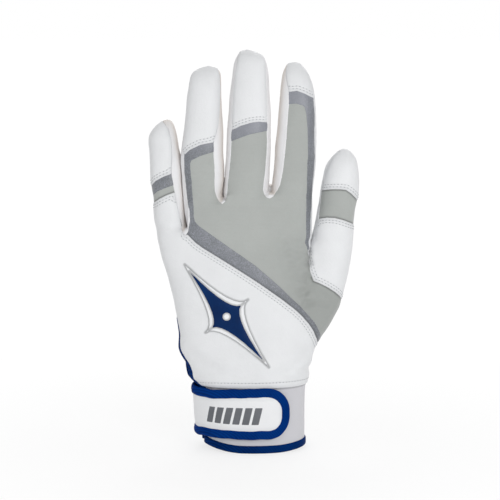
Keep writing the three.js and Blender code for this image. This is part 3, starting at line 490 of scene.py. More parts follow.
class Sheet:
    def __init__(self, points, triangles, values):
        self.points, self.triangles, self.values = points, triangles, values

    def cut(self, key, level=0.0, keep=True, snap=0.06):
        raw = self.values[key] - level
        f = np.where(np.abs(raw) < snap, 0.0, raw)
        sign = np.sign(f).astype(int)
        own = sign[self.triangles]
        mixed = (own > 0).any(1) & (own < 0).any(1)
        whole = self.triangles[~mixed]
        if keep:
            whole = whole[(sign[whole] >= 0).all(1) & ((sign[whole] > 0).any(1) | (raw[whole].mean(1) > 0))]
        split = self.triangles[mixed]
        own = sign[split]
        zeros = (own == 0).sum(1)
        # One corner on the line: turn it to the front
        one = split[zeros == 1]
        turn = np.argmax(sign[one] == 0, 1)
        one = one[np.arange(len(one))[:, None], (turn[:, None] + np.arange(3)) % 3]
        # None on the line: turn the corner that is alone on its side to the front
        two = split[zeros == 0]
        lone = -np.sign(sign[two].sum(1))
        turn = np.argmax(sign[two] == lone[:, None], 1)
        two = two[np.arange(len(two))[:, None], (turn[:, None] + np.arange(3)) % 3]
        pairs = np.concatenate([one[:, [1, 2]], two[:, [0, 1]], two[:, [0, 2]]])
        if len(pairs):
            edges, place = np.unique(np.sort(pairs, 1), axis=0, return_inverse=True)
            place = place.ravel()
            a, b = edges[:, 0], edges[:, 1]
            t = f[a] / (f[a] - f[b])
            base = len(self.points)
            mix = lambda v: v[a] + (v[b] - v[a]) * (t[:, None] if v.ndim > 1 else t)
            self.points = np.concatenate([self.points, mix(self.points)])
            self.values = {k: np.concatenate([v, mix(v)]) for k, v in self.values.items()}
            self.values[key][base:] = level
            f = np.concatenate([f, np.zeros(len(edges))])
            m = base + place
            m1, m2, m3 = m[: len(one)], m[len(one): len(one) + len(two)], m[len(one) + len(two):]
            new = [
                np.stack([one[:, 0], one[:, 1], m1], 1), np.stack([one[:, 0], m1, one[:, 2]], 1),
                np.stack([two[:, 0], m2, m3], 1), np.stack([m2, two[:, 1], two[:, 2]], 1),
                np.stack([m2, two[:, 2], m3], 1),
            ]
            new = np.concatenate(new)
            if keep:
                new = new[(f[new] >= 0).all(1)]
            self.triangles = np.concatenate([whole, new])
        else:
            self.triangles = whole
        return self.packed()

    def packed(self):
        used, place = np.unique(self.triangles, return_inverse=True)
        self.points = self.points[used]
        self.values = {k: v[used] for k, v in self.values.items()}
        self.triangles = place.reshape(-1, 3).astype(np.int64)
        return self

    def copy(self):
        return Sheet(self.points.copy(), self.triangles.copy(), {k: v.copy() for k, v in self.values.items()})

    def rim(self):
        t = self.triangles
        edges = np.concatenate([t[:, [0, 1]], t[:, [1, 2]], t[:, [2, 0]]])
        order = np.sort(edges, 1)
        key = order[:, 0] * (len(self.points) + 1) + order[:, 1]
        _, first, count = np.unique(key, return_index=True, return_counts=True)
        return edges[first[count == 1]]


def treeOf(points):
    tree = kdtree.KDTree(len(points))
    for i, p in enumerate(points.tolist()):
        tree.insert(p, i)
    tree.balance()
    return tree


def distanceTo(points, edges):
    # Distance of each point to the edges, cut into short steps
    a, b = points[edges[:, 0]], points[edges[:, 1]]
    tree = treeOf(np.concatenate([a + (b - a) * t for t in (0.125, 0.375, 0.625, 0.875)]))
    return np.array([tree.find(p)[2] for p in points.tolist()])


# Creases of the skin: the line in the picture, depth and half width in millimetres
creases = {
    "back": [
        [[[192, 171], [200, 173], [210, 171]], 0.35, 1.7],
        [[[194, 180], [203, 181], [212, 179]], 0.28, 2.0],
        [[[236, 178], [246, 181], [257, 178]], 0.2, 2.4],
        [[[290, 165], [298, 167], [306, 164]], 0.2, 2.2],
        [[[287, 196], [297, 199], [305, 197]], 0.25, 2.6],
        [[[286, 243], [296, 246], [306, 243]], 0.7, 2.0],
        [[[289, 252], [298, 256], [307, 253]], 1.1, 2.0],
        [[[291, 264], [300, 266], [308, 262]], 1.0, 2.0],
        [[[296, 274], [304, 277], [311, 282]], 0.8, 2.2],
        [[[301, 293], [310, 290], [320, 294], [330, 300]], 1.1, 2.2],
        [[[307, 303], [316, 300], [326, 305]], 1.0, 2.0],
        [[[300, 371], [309, 367], [317, 362]], 0.6, 1.5],
        [[[192, 352], [202, 362], [216, 368]], 0.45, 3.0],
        [[[200, 375], [214, 372], [232, 376]], 0.35, 2.4],
        [[[288, 372], [300, 362], [312, 350]], 0.5, 3.0],
        [[[292, 381], [302, 376], [309, 368]], 0.4, 2.0],
        [[[240, 374], [262, 377], [284, 374]], 0.25, 3.0],
        [[[158, 230], [166, 238], [176, 240]], 0.3, 2.6],
        [[[160, 246], [170, 250], [184, 249]], 0.22, 3.0],
        [[[318, 240], [330, 245], [344, 243]], 0.25, 2.6],
        [[[325, 200], [338, 203], [352, 208]], 0.2, 2.4],
    ],
    "palm": [
        [[[180, 262], [205, 252], [240, 250], [285, 262]], 1.0, 2.0],
        [[[178, 284], [215, 274], [262, 286], [296, 300]], 1.1, 2.2],
        [[[262, 236], [250, 268], [252, 300], [268, 340]], 1.0, 2.4],
        [[[300, 371], [309, 367], [317, 362]], 0.6, 1.5],
        [[[186, 356], [220, 366], [262, 364], [304, 354]], 0.6, 2.4],
        [[[200, 376], [240, 372], [296, 376]], 0.5, 2.0],
    ],
}


def alongLine(pixels, line):
    line = np.array(line, float)
    return np.min([awayFrom(pixels, a, b) for a, b in zip(line[:-1], line[1:])], axis=0) * view["mmPerPixel"]


def ripple(points, scale, seed):
    rng = np.random.default_rng(seed)
    out = np.zeros(len(points))
    for octave in range(3):
        for _ in range(5):
            direction = rng.normal(size=3)
            direction *= 2 * math.pi / (scale / 2 ** octave) / np.linalg.norm(direction)
            out += np.sin(points @ direction + rng.uniform(0, 6.28)) / 5 / 1.7 ** octave
    return out


skin = {"voxel": 0.62, "relaxRounds": 14, "softRounds": 90, "normalRounds": 6}
points, triangles = skinBody(bodyParts(), skin["voxel"])
edges = neighbours(triangles)
points = relax(points, edges, skin["relaxRounds"])
points = soften(points, edges, stepWeight(points), skin["softRounds"])
beforeX = points[:, 0] - shift[0]
points = closeSlit(points)
print("body", len(points), "points")

normals = blurred(normalsOf(points, triangles), edges, skin["normalRounds"])
normals /= np.maximum(np.linalg.norm(normals, axis=1), 1e-9)[:, None]
pixels = pixelsOf(points)
field = {name: inside(pixels, outline) for name, outline in seams.items()}


gapX = [np.interp(pixels[:, 1], *np.array(line, float).T[::-1]) for line in gapLines]
thumbArea = field["thumbArea"] > 0
# Beside the closed slit the side is told from where the points were before it was closed
slitSide = beforeX - slitLine(points[:, 2])
inSlit = (points[:, 2] > closing["from"]) & (beforeX > closing["span"][0]) & (beforeX < closing["inner"])
pastLine0 = np.where(inSlit, slitSide, (pixels[:, 0] - gapX[0]) * view["mmPerPixel"])
column = np.select(
    [thumbArea, pastLine0 < 0, pixels[:, 0] < gapX[1], pixels[:, 0] < gapX[2]], [4, 0, 1, 2], 3
)
names = ["pinky", "ring", "middle", "index", "thumb"]
x, y, z = points.T

# The side seam, where the back of the glove meets the palm side: its run across the hand, and how it
# rises to the middle of each finger
sideSeam = {
    "line": [[-130, 0], [13, 0.4], [37, 4.9], [130, 6.3]], "thumbFoot": 100, "below": 8, "over": 12, "up": 1.0,
}
side = np.interp(x - shift[0], *np.array(sideSeam["line"], float).T)
for i, name in enumerate(names):
    f = fingers[name]
    share = np.clip((z - f["root"]) / f["length"], -0.3, 1)
    middle = f["y"] + f["curl"] * np.maximum(0, share) ** 2 + sideSeam["up"]
    foot = f["root"] if name != "thumb" else sideSeam["thumbFoot"]
    rise = np.clip((z - foot + sideSeam["below"]) / sideSeam["over"], 0, 1)
    side = np.where(column == i, side + (middle - side) * rise * rise * (3 - 2 * rise), side)
side = side + shift[1]
backward = side - y

for i, name in enumerate(names[:4]):
    field[name + "Root"] = np.where(column == i, z - fingers[name]["root"], -5.0)
    field[name + "Tip"] = np.where(column == i, z - knuckleHeight[name], -5.0)
for name in ("root", "tip"):
    tilt = math.radians(thumbBend[name + "Tilt"])
    px, pz = thumbBend[name]
    beyond = math.sin(tilt) * (x - px - shift[0]) + math.cos(tilt) * (z - pz)
    field["thumb" + name.capitalize()] = np.where(thumbArea, beyond, -5.0)

# The strips between the fingers go on round their flanks, out of the photo's sight
flank = {"half": 3.8, "end": 0.93, "from": 0.5, "below": 8, "steps": 80, "taper": 0.35, "foot": 3, "sides": [
    ("pinky", 1, "gapPinkyRing"), ("ring", -1, "gapPinkyRing"), ("ring", 1, "gapRingMiddle"),
    ("middle", -1, "gapRingMiddle"), ("middle", 1, "gapMiddleIndex"), ("index", -1, "gapMiddleIndex"),
]}
for name, sign, gap in flank["sides"]:
    f = fingers[name]
    heights = np.linspace(f["root"] - flank["below"], f["root"] + f["length"], flank["steps"])
    sizes = np.array([stallSize(f, h) for h in heights])
    centre, mid, width = (np.interp(z, heights, sizes[:, k]) for k in range(3))
    share = np.clip((z - f["root"]) / f["length"] / flank["end"], 0, 1)
    strip = flank["half"] * (1 - share) ** flank["taper"] - np.abs(y - shift[1] - mid)
    beside = sign * (x - shift[0] - centre) - flank["from"] * width
    own = np.minimum.reduce([strip, beside, z - f["root"] + flank["foot"]])
    field[gap] = np.where(column == names.index(name), np.maximum(field[gap], own), field[gap])

# The slit at the little-finger side, and the heights of the cuff's seams
slit = {
    "top": 73, "tape": 2.7,
    "back": [[-10, -5.2], [38, -6.2], [46, -5.4], [58, -1.6], [73, 0.2]],
    "palm": [[-10, 2.6], [38, 2.0], [58, 2.2], [73, 1.4]],
}
seamHeight = {"wrist": 37.4, "hem": 4.4, "riseLeft": 4.0, "riseRight": 1.3}
rise = seamHeight["riseLeft"] * np.clip((-4 - (x - shift[0])) / 24, 0, 1) ** 1.9
rise = rise + seamHeight["riseRight"] * np.clip((x - shift[0] - 16) / 15, 0, 1) ** 1.5
slitBack = np.interp(z, *np.array(slit["back"]).T) + shift[1] - 0.6
slitPalm = np.interp(z, *np.array(slit["palm"]).T) + shift[1] - 0.6
beside = np.maximum(slitBack - y, y - slitPalm)
field["slit"] = np.where(x < -15, np.maximum(beside, z - slit["top"]), 50.0)
field["seamHeight"] = z - seamHeight["wrist"]
for i, line in enumerate(gapX):
    field["line" + str(i)] = (pixels[:, 0] - line) * view["mmPerPixel"] if i else pastLine0

# The badge: a plain four-pointed star with a round hole, and its white border
badge = {
    "middle": [-13.0, 78.5], "long": 33, "wide": 12.5, "waist": [4.7, 7], "tilt": 39, "hole": 2.3,
    "border": 1.9, "pointShares": [2.4, 1.5], "reach": 30,
}


def starOutline(grow):
    long = badge["long"] + badge["pointShares"][0] * grow
    wide = badge["wide"] + badge["pointShares"][1] * grow
    across, along = badge["waist"][0] + grow, badge["waist"][1] + grow
    quarter = []
    for k in range(9):
        t = k / 8
        # A soft bend through the waist between a long point and a short one
        pull = 2 * np.array([across, along]) - 0.5 * np.array([wide, long])
        quarter.append((1 - t) ** 2 * np.array([0, long]) + 2 * t * (1 - t) * pull + t * t * np.array([wide, 0]))
    corners = []
    for sx, sy, flip in ((1, 1, False), (1, -1, True), (-1, -1, False), (-1, 1, True)):
        part = [(sx * u, sy * v) for u, v in quarter]
        corners += part[::-1][:-1] if flip else part[:-1]
    tilt = math.radians(badge["tilt"])
    return [
        [badge["middle"][0] + u * math.cos(tilt) - v * math.sin(tilt),
         badge["middle"][1] + u * math.sin(tilt) + v * math.cos(tilt)] for u, v in corners
    ]


flat = np.stack([x - shift[0], z], 1)
star = inside(flat, starOutline(0), 1.0)
hole = np.hypot(flat[:, 0] - badge["middle"][0], flat[:, 1] - badge["middle"][1]) - badge["hole"]
border = inside(flat, starOutline(badge["border"]), 1.0)
nearBadge = badge["reach"] - np.abs(flat[:, 0] - badge["middle"][0])

gapNames = ["gapPinkyRing", "gapRingMiddle", "gapMiddleIndex"]
gaps = np.maximum.reduce([field[name] for name in gapNames])
overWrist = np.minimum(field["slit"], field["seamHeight"])
onBack = np.minimum.reduce([-gaps, -field["rim"], backward, overWrist])
# How far a panel goes on under its neighbours
under, bandLap, diagonalLap = 1.5, 0.6, 0.9
# In pixels of the photo: the grey panel keeps off the thumb above the first row, and the thumb's panel
# casts painted shadow on others only past the column or below the row that follow
photoLimits = {"greyLow": 250, "thumbX": 318, "thumbY": 277}
thumbAll = np.maximum.reduce([field["thumbLow"], field["thumbFlex"], field["thumbCap"]])
pinkyAll = np.maximum.reduce([field["pinkyBand"], field["pinkyStripe"], field["pinkyCap"]])
caps = np.maximum.reduce([field["ringCap"], field["middleCap"], field["indexCap"]])
bands = np.maximum.reduce([field["darkBack"], field["middleBand"], field["darkIndex"]])
cuffUp = np.minimum.reduce([field["slit"], seamHeight["wrist"] + 1.5 - z, z - rise - seamHeight["hem"] + 1.2])
# The grey panel ends before the little finger and before the thumb's pieces
noGrey = (column == 0) | (thumbArea & (pixels[:, 1] < photoLimits["greyLow"]))
grey = np.minimum.reduce([-field["whiteBack"], -thumbAll, -pinkyAll, -caps, -bands, onBack]) + under
panelField = {
    "grey": np.where(noGrey, -3.0, grey),
    "darkBack": np.minimum(np.minimum(field["darkBack"] + under * ((field["whiteBack"] > -3) | (caps > -3)),
                                      onBack + under), field["darkBack"] + diagonalLap),
    "middleBand": np.minimum(field["middleBand"] + bandLap, onBack + under),
    "darkIndex": np.minimum.reduce([field["darkIndex"] + bandLap, onBack + under, -field["thumbArea"]]),
    "pinkyBand": np.minimum(field["pinkyBand"] + bandLap, onBack + under),
    "pinkyStripe": np.minimum(field["pinkyStripe"] + under, onBack + under),
    "thumbFlex": np.minimum(field["thumbFlex"], onBack) + under,
    "whiteBack": np.minimum(field["whiteBack"], onBack),
    **{name: np.minimum(field[name], onBack) for name in (*(n + "Cap" for n in names), "thumbLow")},
    **{name: np.minimum(field[name], overWrist) for name in gapNames},
    "palm": np.minimum.reduce([np.maximum(-backward, field["rim"]), -gaps, overWrist]),
    "cuffBack": np.minimum(cuffUp, backward),
    "cuffPalm": np.minimum(cuffUp, -backward),
    "hemTape": np.minimum.reduce([z - rise, seamHeight["hem"] + rise - z, field["slit"]]),
    "slitTape": np.minimum.reduce(
        [field["slit"] + 0.7, slit["tape"] - field["slit"], z - rise - seamHeight["hem"] - 0.3]),
    "badgeBorder": np.minimum.reduce([border, backward, nearBadge]),
    "badge": np.minimum.reduce([star, hole, backward, nearBadge]),
}
# How far each point lies from a piece that is sewn on over it, which sets the painted shadow beside that piece
thumbCastsShade = (pixels[:, 0] > photoLimits["thumbX"]) | (pixels[:, 1] > photoLimits["thumbY"])
whites = np.maximum.reduce([field["whiteBack"], field["thumbCap"], np.where(thumbCastsShade, field["thumbLow"], -9.0)])
# Painted shade: on three fingers the flanks of the strips that turn away from the front are painted in a darker,
# warmer tone
ringX, indexX = [fingers[n]["x"] + shift[0] for n in ("ring", "index")]
shadedFlank = (column == 0) | ((column == 1) & (x > ringX)) | ((column == 3) & (x < indexX))
flankShade = np.clip((0.8 + normals[:, 1]) / 0.5, 0, 1) * shadedFlank
covers = {"whites": -whites, "border": -border, "star": -np.minimum(star, hole), "wrist": -field["seamHeight"],
          "flank": 1.15 - 0.7 * flankShade}
body = Sheet(points, triangles.astype(np.int64), {
    "normal": normals, "pixels": pixels, "side": backward, **field, **covers,
    **{"in_" + k: v for k, v in panelField.items()},
})
print("fields ready")


class Value:
    def __init__(self, paint, socket):
        self.paint, self.socket = paint, socket

    def math(self, operation, other, flip=False):
        values = [other, self] if flip else [self, other]
        return self.paint.node("ShaderNodeMath", {"operation": operation}, {0: values[0], 1: values[1]})

    def __add__(self, other): return self.math("ADD", other)
    def __radd__(self, other): return self.math("ADD", other)
    def __sub__(self, other): return self.math("SUBTRACT", other)
    def __rsub__(self, other): return self.math("SUBTRACT", other, True)
    def __mul__(self, other): return self.math("MULTIPLY", other)
    def __rmul__(self, other): return self.math("MULTIPLY", other)


class Paint:
    def __init__(self, name, color, roughness, specular, sheen=0.0):
        self.material = bpy.data.materials.new(name)
        self.material.use_nodes = True
        self.tree = self.material.node_tree
        self.shader = self.tree.nodes["Principled BSDF"]
        self.put("Base Color", (*color, 1))
        self.put("Roughness", roughness)
        self.put("Specular IOR Level", specular)
        self.put("Sheen Weight", sheen)
        self.coords = self.node("ShaderNodeTexCoord", {}, {}, "Object")

    def put(self, socket, value):
        if isinstance(value, Value):
            self.tree.links.new(value.socket, self.shader.inputs[socket])
        else:
            self.shader.inputs[socket].default_value = value

    def node(self, kind, settings, sockets, out=0):
        node = self.tree.nodes.new(kind)
        for key, value in settings.items():
            if key == "stops":
                while len(node.color_ramp.elements) < len(value):
                    node.color_ramp.elements.new(0.5)
                for stop, (place, color) in zip(node.color_ramp.elements, value):
                    stop.position = place
                    stop.color = (*color, 1) if len(color) == 3 else color
            else:
                setattr(node, key, value)
        for key, value in sockets.items():
            if isinstance(value, Value):
                self.tree.links.new(value.socket, node.inputs[key])
            else:
                node.inputs[key].default_value = value
        return Value(self, node.outputs[out])

    def noise(self, scale, detail=2.0, rough=0.5, vector=None, kind="ShaderNodeTexNoise"):
        sockets = {"Vector": vector or self.coords, "Scale": scale}
        if kind == "ShaderNodeTexNoise":
            sockets.update({"Detail": detail, "Roughness": rough})
        return self.node(kind, {}, sockets, "Fac" if kind == "ShaderNodeTexNoise" else "Distance")

    def mix(self, factor, a, b):
        wrap = lambda c: c if isinstance(c, Value) else (*c, 1)
        node = self.tree.nodes.new("ShaderNodeMix")
        node.data_type = "RGBA"
        for socket, value in ((node.inputs[0], factor), (node.inputs[6], wrap(a)), (node.inputs[7], wrap(b))):
            if isinstance(value, Value):
                self.tree.links.new(value.socket, socket)
            else:
                socket.default_value = value
        return Value(self, node.outputs[2])

    def attribute(self, name):
        return self.node("ShaderNodeAttribute", {"attribute_name": name}, {}, "Fac")

    def fade(self, value, start, end, low=1.0, high=0.0):
        return self.node("ShaderNodeMapRange", {}, {0: value, 1: start, 2: end, 3: low, 4: high})

    def wave(self, direction, scale, distortion, detail, **more):
        sockets = {"Vector": self.coords, "Scale": scale, "Distortion": distortion, "Detail": detail, **more}
        return self.node("ShaderNodeTexWave", {"wave_type": "BANDS", "bands_direction": direction}, sockets, "Fac")

    def axis(self, name):
        return self.node("ShaderNodeSeparateXYZ", {}, {0: self.coords}, name)

    def ramp(self, value, stops):
        return self.node("ShaderNodeValToRGB", {"stops": stops}, {0: value})

    def bump(self, height, distance):
        sockets = {"Height": height, "Distance": distance, "Strength": 1.0}
        self.put("Normal", self.node("ShaderNodeBump", {}, sockets))


def shade(color, factor):
    return tuple(min(1, c * factor) for c in color)


def shaded(paint, tone, dark, amount):
    # Painted shade: darker beside a piece that is sewn on over this one, as the shadow under its raised edge
    return paint.mix(paint.attribute("covered") * amount, tone, dark)


def leather(name, color, dark, roughness=0.48, under=None):
    paint = Paint(name, color, roughness, specular=0.4, sheen=0.08)
    pores = paint.noise(1500, kind="ShaderNodeTexVoronoi")
    fine = paint.noise(900, 4, 0.6)
    broad = paint.noise(45, 3, 0.55)
    near = paint.fade(paint.attribute("edge"), 0.0, 0.0022)
    groove = paint.fade(paint.attribute("row"), 0.0, 0.00045)
    tone = paint.ramp(broad * 0.75 + fine * 0.25, [(0.3, shade(color, 0.955)), (0.72, shade(color, 1.03))])
    # Painted shade, partly wear: darker towards the panel's edge; painted shade along the sunk stitch grooves
    tone = paint.mix(near * 0.28 + groove * 0.34, tone, dark)
    # Painted shadow beside pieces sewn on over this one; given an under colour, as on the fourchettes, their painted
    # flank shade in that colour
    paint.put("Base Color", shaded(paint, tone, under or shade(dark, 0.3), 1.0 if under else 0.6))
    paint.put("Roughness", 0.3 + broad * 0.24 + fine * 0.12)
    paint.bump(pores * 0.5 + fine * 0.5 + broad * 1.2, 0.00012)
    return paint.material


def knit(name, color, dark, roughness=0.62):
    paint = Paint(name, color, roughness, specular=0.3, sheen=0.25)
    threads = (("X", 520), ("Z", 430))
    weave, cross = (paint.wave(way, scale, 1.2, 2.0, **{"Detail Scale": 2.0}) for way, scale in threads)
    broad = paint.noise(38, 3, 0.6)
    fine = paint.noise(1400, 2, 0.5)
    tone = paint.ramp(broad * 0.7 + fine * 0.3, [(0.32, shade(color, 0.93)), (0.7, shade(color, 1.06))])
    # Painted shade: a little darker low down on the thumb's side, where the surface turns away from the light
    low = paint.fade(paint.axis("Z"), 0.085, 0.13, 0.75, 0.12)
    right = paint.fade(paint.axis("X"), 0.0, 0.03, 0.0, 1.0)
    tone = paint.mix(low * right, paint.mix(weave * cross * 0.22, tone, dark), dark)
    paint.put("Base Color", shaded(paint, tone, shade(dark, 0.3), 0.6))
    paint.put("Roughness", 0.5 + broad * 0.2)
    paint.bump(weave * 0.5 + cross * 0.5 + broad * 0.8, 0.00014)
    return paint.material


def satin(name, color, dark, light):
    paint = Paint(name, color, 0.36, specular=0.55, sheen=0.1)
    specks = paint.noise(1700, 1, 0.5)
    broad = paint.noise(50, 3, 0.6)
    tone = paint.ramp(specks * 0.6 + broad * 0.4, [(0.36, dark), (0.5, color), (0.68, light)])
    # Painted sheen: the bands high on the fingers are painted lighter than the one across the hand, as if they caught
    # more light from above, all but the index finger's outer side
    high = paint.fade(paint.axis("Z"), 0.165, 0.185, 0.0, 0.7)
    side = paint.fade(paint.axis("X"), 0.028, 0.034, 1.0, 0.1)
    paint.put("Base Color", shaded(paint, paint.mix(high * side, tone, light), shade(dark, 0.3), 0.45))
    paint.put("Roughness", 0.26 + specks * 0.2 + broad * 0.08)
    paint.bump(specks + broad * 0.6, 0.0001)
    return paint.material


def tapeCloth(name, color, dark, light):
    paint = Paint(name, color, 0.5, specular=0.02)
    ribs = paint.wave("DIAGONAL", 340, 0.6, 1.0)
    broad = paint.noise(70, 3, 0.6)
    tone = paint.ramp(broad * 0.6 + ribs * 0.4, [(0.2, dark), (0.55, color), (0.9, light)])
    paint.put("Base Color", tone)
    paint.put("Roughness", 0.42 + broad * 0.2)
    paint.bump(ribs + broad * 0.5, 0.00012)
    return paint.material


def plainCloth(name, color, dark):
    paint = Paint(name, color, 0.7, specular=0.25, sheen=0.3)
    fine = paint.noise(1200, 3, 0.6)
    broad = paint.noise(30, 2, 0.5)
    tone = paint.ramp(broad * 0.6 + fine * 0.4, [(0.3, shade(color, 0.955)), (0.7, shade(color, 1.02))])
    near = paint.fade(paint.attribute("edge"), 0.0, 0.002)
    # Painted shade, partly wear: darker towards the cloth's edge; painted shadow under the wrist seam's edge
    paint.put("Base Color", shaded(paint, paint.mix(near * 0.25, tone, dark), shade(dark, 0.3), 0.5))
    paint.put("Roughness", 0.62 + fine * 0.16)
    paint.bump(fine + broad * 0.8, 0.00012)
    return paint.material


def pile(name, color, dark):
    paint = Paint(name, color, 0.95, specular=0.1, sheen=0.5)
    loops = paint.noise(900, kind="ShaderNodeTexVoronoi")
    fine = paint.noise(2200, 2, 0.6)
    paint.put("Base Color", paint.mix(loops * 1.3, color, dark))
    paint.put("Roughness", 0.8 + fine * 0.2)
    paint.bump(loops + fine * 0.5, 0.0004)
    return paint.material


def mouldedBlue(name, color, light):
    paint = Paint(name, color, 0.3, specular=0.1)
    broad = paint.noise(60, 3, 0.6)
    fine = paint.noise(1800, 2, 0.5)
    paint.put("Base Color", paint.ramp(broad, [(0.35, color), (0.75, light)]))
    paint.put("Roughness", 0.26 + fine * 0.16)
    paint.bump(fine + broad, 0.00006)
    return paint.material


def threadPaint(name, color):
    paint = Paint(name, color, 0.6, specular=0.3, sheen=0.3)
    strands = paint.noise(3000, 2, 0.5)
    paint.put("Base Color", paint.ramp(strands, [(0.3, shade(color, 0.88)), (0.7, shade(color, 1.04))]))
    paint.put("Roughness", 0.5 + strands * 0.2)
    paint.bump(strands, 0.00008)
    return paint.material


paints = {
    "white_leather": leather("whiteLeather", (0.745, 0.755, 0.768), (0.5, 0.51, 0.53)),
    "strap_leather": leather("strapLeather", (0.89, 0.895, 0.905), (0.62, 0.63, 0.65)),
    "border": leather("borderLeather", (0.87, 0.88, 0.89), (0.62, 0.63, 0.65)),
    # The fourchettes' last colour is the darker, warmer tone of their painted flank shade
    "fourchette": leather("fourchetteLeather", (0.79, 0.79, 0.805), (0.6, 0.6, 0.61), 0.5, (0.71, 0.66, 0.615)),
    "cuff_cloth": plainCloth("cuffCloth", (0.60, 0.597, 0.625), (0.42, 0.415, 0.45)),
    "grey_stretch": knit("greyStretch", (0.42, 0.438, 0.422), (0.31, 0.325, 0.312)),
    "dark_satin": satin("darkSatin", (0.165, 0.177, 0.196), (0.119, 0.127, 0.142), (0.262, 0.272, 0.308)),
    "blue_tape": tapeCloth("blueTape", (0.0, 0.027, 0.17), (0.0, 0.015, 0.1), (0.0, 0.042, 0.235)),
    "hem_tape": tapeCloth("hemTape", (0.0, 0.021, 0.12), (0.0, 0.011, 0.065), (0.0, 0.032, 0.17)),
    "blue_badge": mouldedBlue("mouldedBlue", (0.0, 0.015, 0.075), (0.0, 0.024, 0.11)),
    "pile": pile("pile", (0.7, 0.7, 0.72), (0.4, 0.4, 0.42)),
    "thread": threadPaint("thread", (0.43, 0.445, 0.46)),
    "print": mouldedBlue("greyPrint", (0.13, 0.137, 0.15), (0.165, 0.17, 0.185)),
}
print("materials ready")


def meshObject(name, points, triangles, materials, kinds=None, attributes=None):
    mesh = bpy.data.meshes.new(name)
    mesh.vertices.add(len(points))
    mesh.vertices.foreach_set("co", (points / 1000).astype(np.float32).ravel())
    mesh.loops.add(len(triangles) * 3)
    mesh.loops.foreach_set("vertex_index", triangles.astype(np.int32).ravel())
    mesh.polygons.add(len(triangles))
    mesh.polygons.foreach_set("loop_start", np.arange(0, len(triangles) * 3, 3, dtype=np.int32))
    if kinds is not None:
        mesh.polygons.foreach_set("material_index", kinds.astype(np.int32))
    mesh.polygons.foreach_set("use_smooth", np.ones(len(triangles), bool))
    mesh.update()
    mesh.validate()
    for material in materials:
        mesh.materials.append(material)
    for key, values in (attributes or {}).items():
        attribute = mesh.attributes.new(key, "FLOAT", "POINT")
        attribute.data.foreach_set("value", values.astype(np.float32))
    obj = bpy.data.objects.new(name, mesh)
    bpy.context.scene.collection.objects.link(obj)
    return obj


# One stitch: a short thread that dips into the leather at both ends
stitch = {"long": 1.0, "wide": 0.5, "pitch": 1.95, "high": 0.2}


def stitchMesh():
    rings, sides = [(-1, 0.3, -0.35), (-0.75, 0.75, 0.0), (0, 1, 0.14), (0.75, 0.75, 0.0), (1, 0.3, -0.35)], 6
    points, faces = [], []
    for along, size, rise in rings:
        for k in range(sides):
            a = 2 * math.pi * k / sides
            points.append([along * stitch["long"] / 2, math.cos(a) * size * stitch["wide"] / 2,
                           math.sin(a) * size * stitch["high"] + rise * 0.8])
    for r in range(len(rings) - 1):
        for k in range(sides):
            n = (k + 1) % sides
            a, b, c, d = r * sides + k, r * sides + n, (r + 1) * sides + n, (r + 1) * sides + k
            faces += [[a, d, c], [a, c, b]]
    return np.array(points), np.array(faces)


stitchPoints, stitchFaces = stitchMesh()


def contour(sheet, places, values, level):
    # Chains of points where a value crosses a level
    tri = sheet.triangles
    above = values > level
    mixed = above[tri].any(1) & ~above[tri].all(1)
    links, where = {}, {}
    for t in tri[mixed].tolist():
        ends = []
        for a, b in ((t[0], t[1]), (t[1], t[2]), (t[2], t[0])):
            if above[a] != above[b]:
                key = (min(a, b), max(a, b))
                if key not in where:
                    a, b = key
                    s = (level - values[a]) / (values[b] - values[a])
                    where[key] = [v[a] + (v[b] - v[a]) * s for v in (places, sheet.values["normal"])]
                ends.append(key)
        if len(ends) == 2:
            links.setdefault(ends[0], []).append(ends[1])
            links.setdefault(ends[1], []).append(ends[0])
    chains, seen = [], set()
    starts = [k for k, v in links.items() if len(v) == 1] + list(links)
    for start in starts:
        if start in seen:
            continue
        chain, at = [start], start
        seen.add(start)
        while True:
            ahead = [k for k in links[at] if k not in seen]
            if not ahead:
                break
            at = ahead[0]
            seen.add(at)
            chain.append(at)
        chains.append(chain)
    return [(np.array([where[k][0] for k in c]), np.array([where[k][1] for k in c])) for c in chains if len(c) > 3]


def sewAlong(chains):
    points, triangles, count = [], [], 0
    for path, normal in chains:
        smooth = path.copy()
        for _ in range(3):
            smooth[1:-1] = 0.25 * smooth[:-2] + 0.5 * smooth[1:-1] + 0.25 * smooth[2:]
        run = np.concatenate([[0], np.cumsum(np.linalg.norm(np.diff(smooth, axis=0), axis=1))])
        total = run[-1]
        number = int(total / stitch["pitch"])
        if number < 2:
            continue
        for k in range(number):
            s = (k + 0.5) * total / number
            at = np.array([np.interp(s, run, smooth[:, c]) for c in range(3)])
            ahead = np.array([np.interp(min(total, s + 0.8), run, smooth[:, c]) for c in range(3)])
            behind = np.array([np.interp(max(0, s - 0.8), run, smooth[:, c]) for c in range(3)])
            up = np.array([np.interp(s, run, normal[:, c]) for c in range(3)])
            along = ahead - behind
            along /= np.linalg.norm(along) + 1e-9
            up -= along * (up @ along)
            up /= np.linalg.norm(up) + 1e-9
            across = np.cross(up, along)
            points.append(at + stitchPoints @ np.stack([along, across, up]))
            triangles.append(stitchFaces + count)
            count += len(stitchPoints)
    if not points:
        return None
    return np.concatenate(points), np.concatenate(triangles)


bodies = ["hand"] + [f"{n}_{p}" for n in names for p in ("base", "tip")]
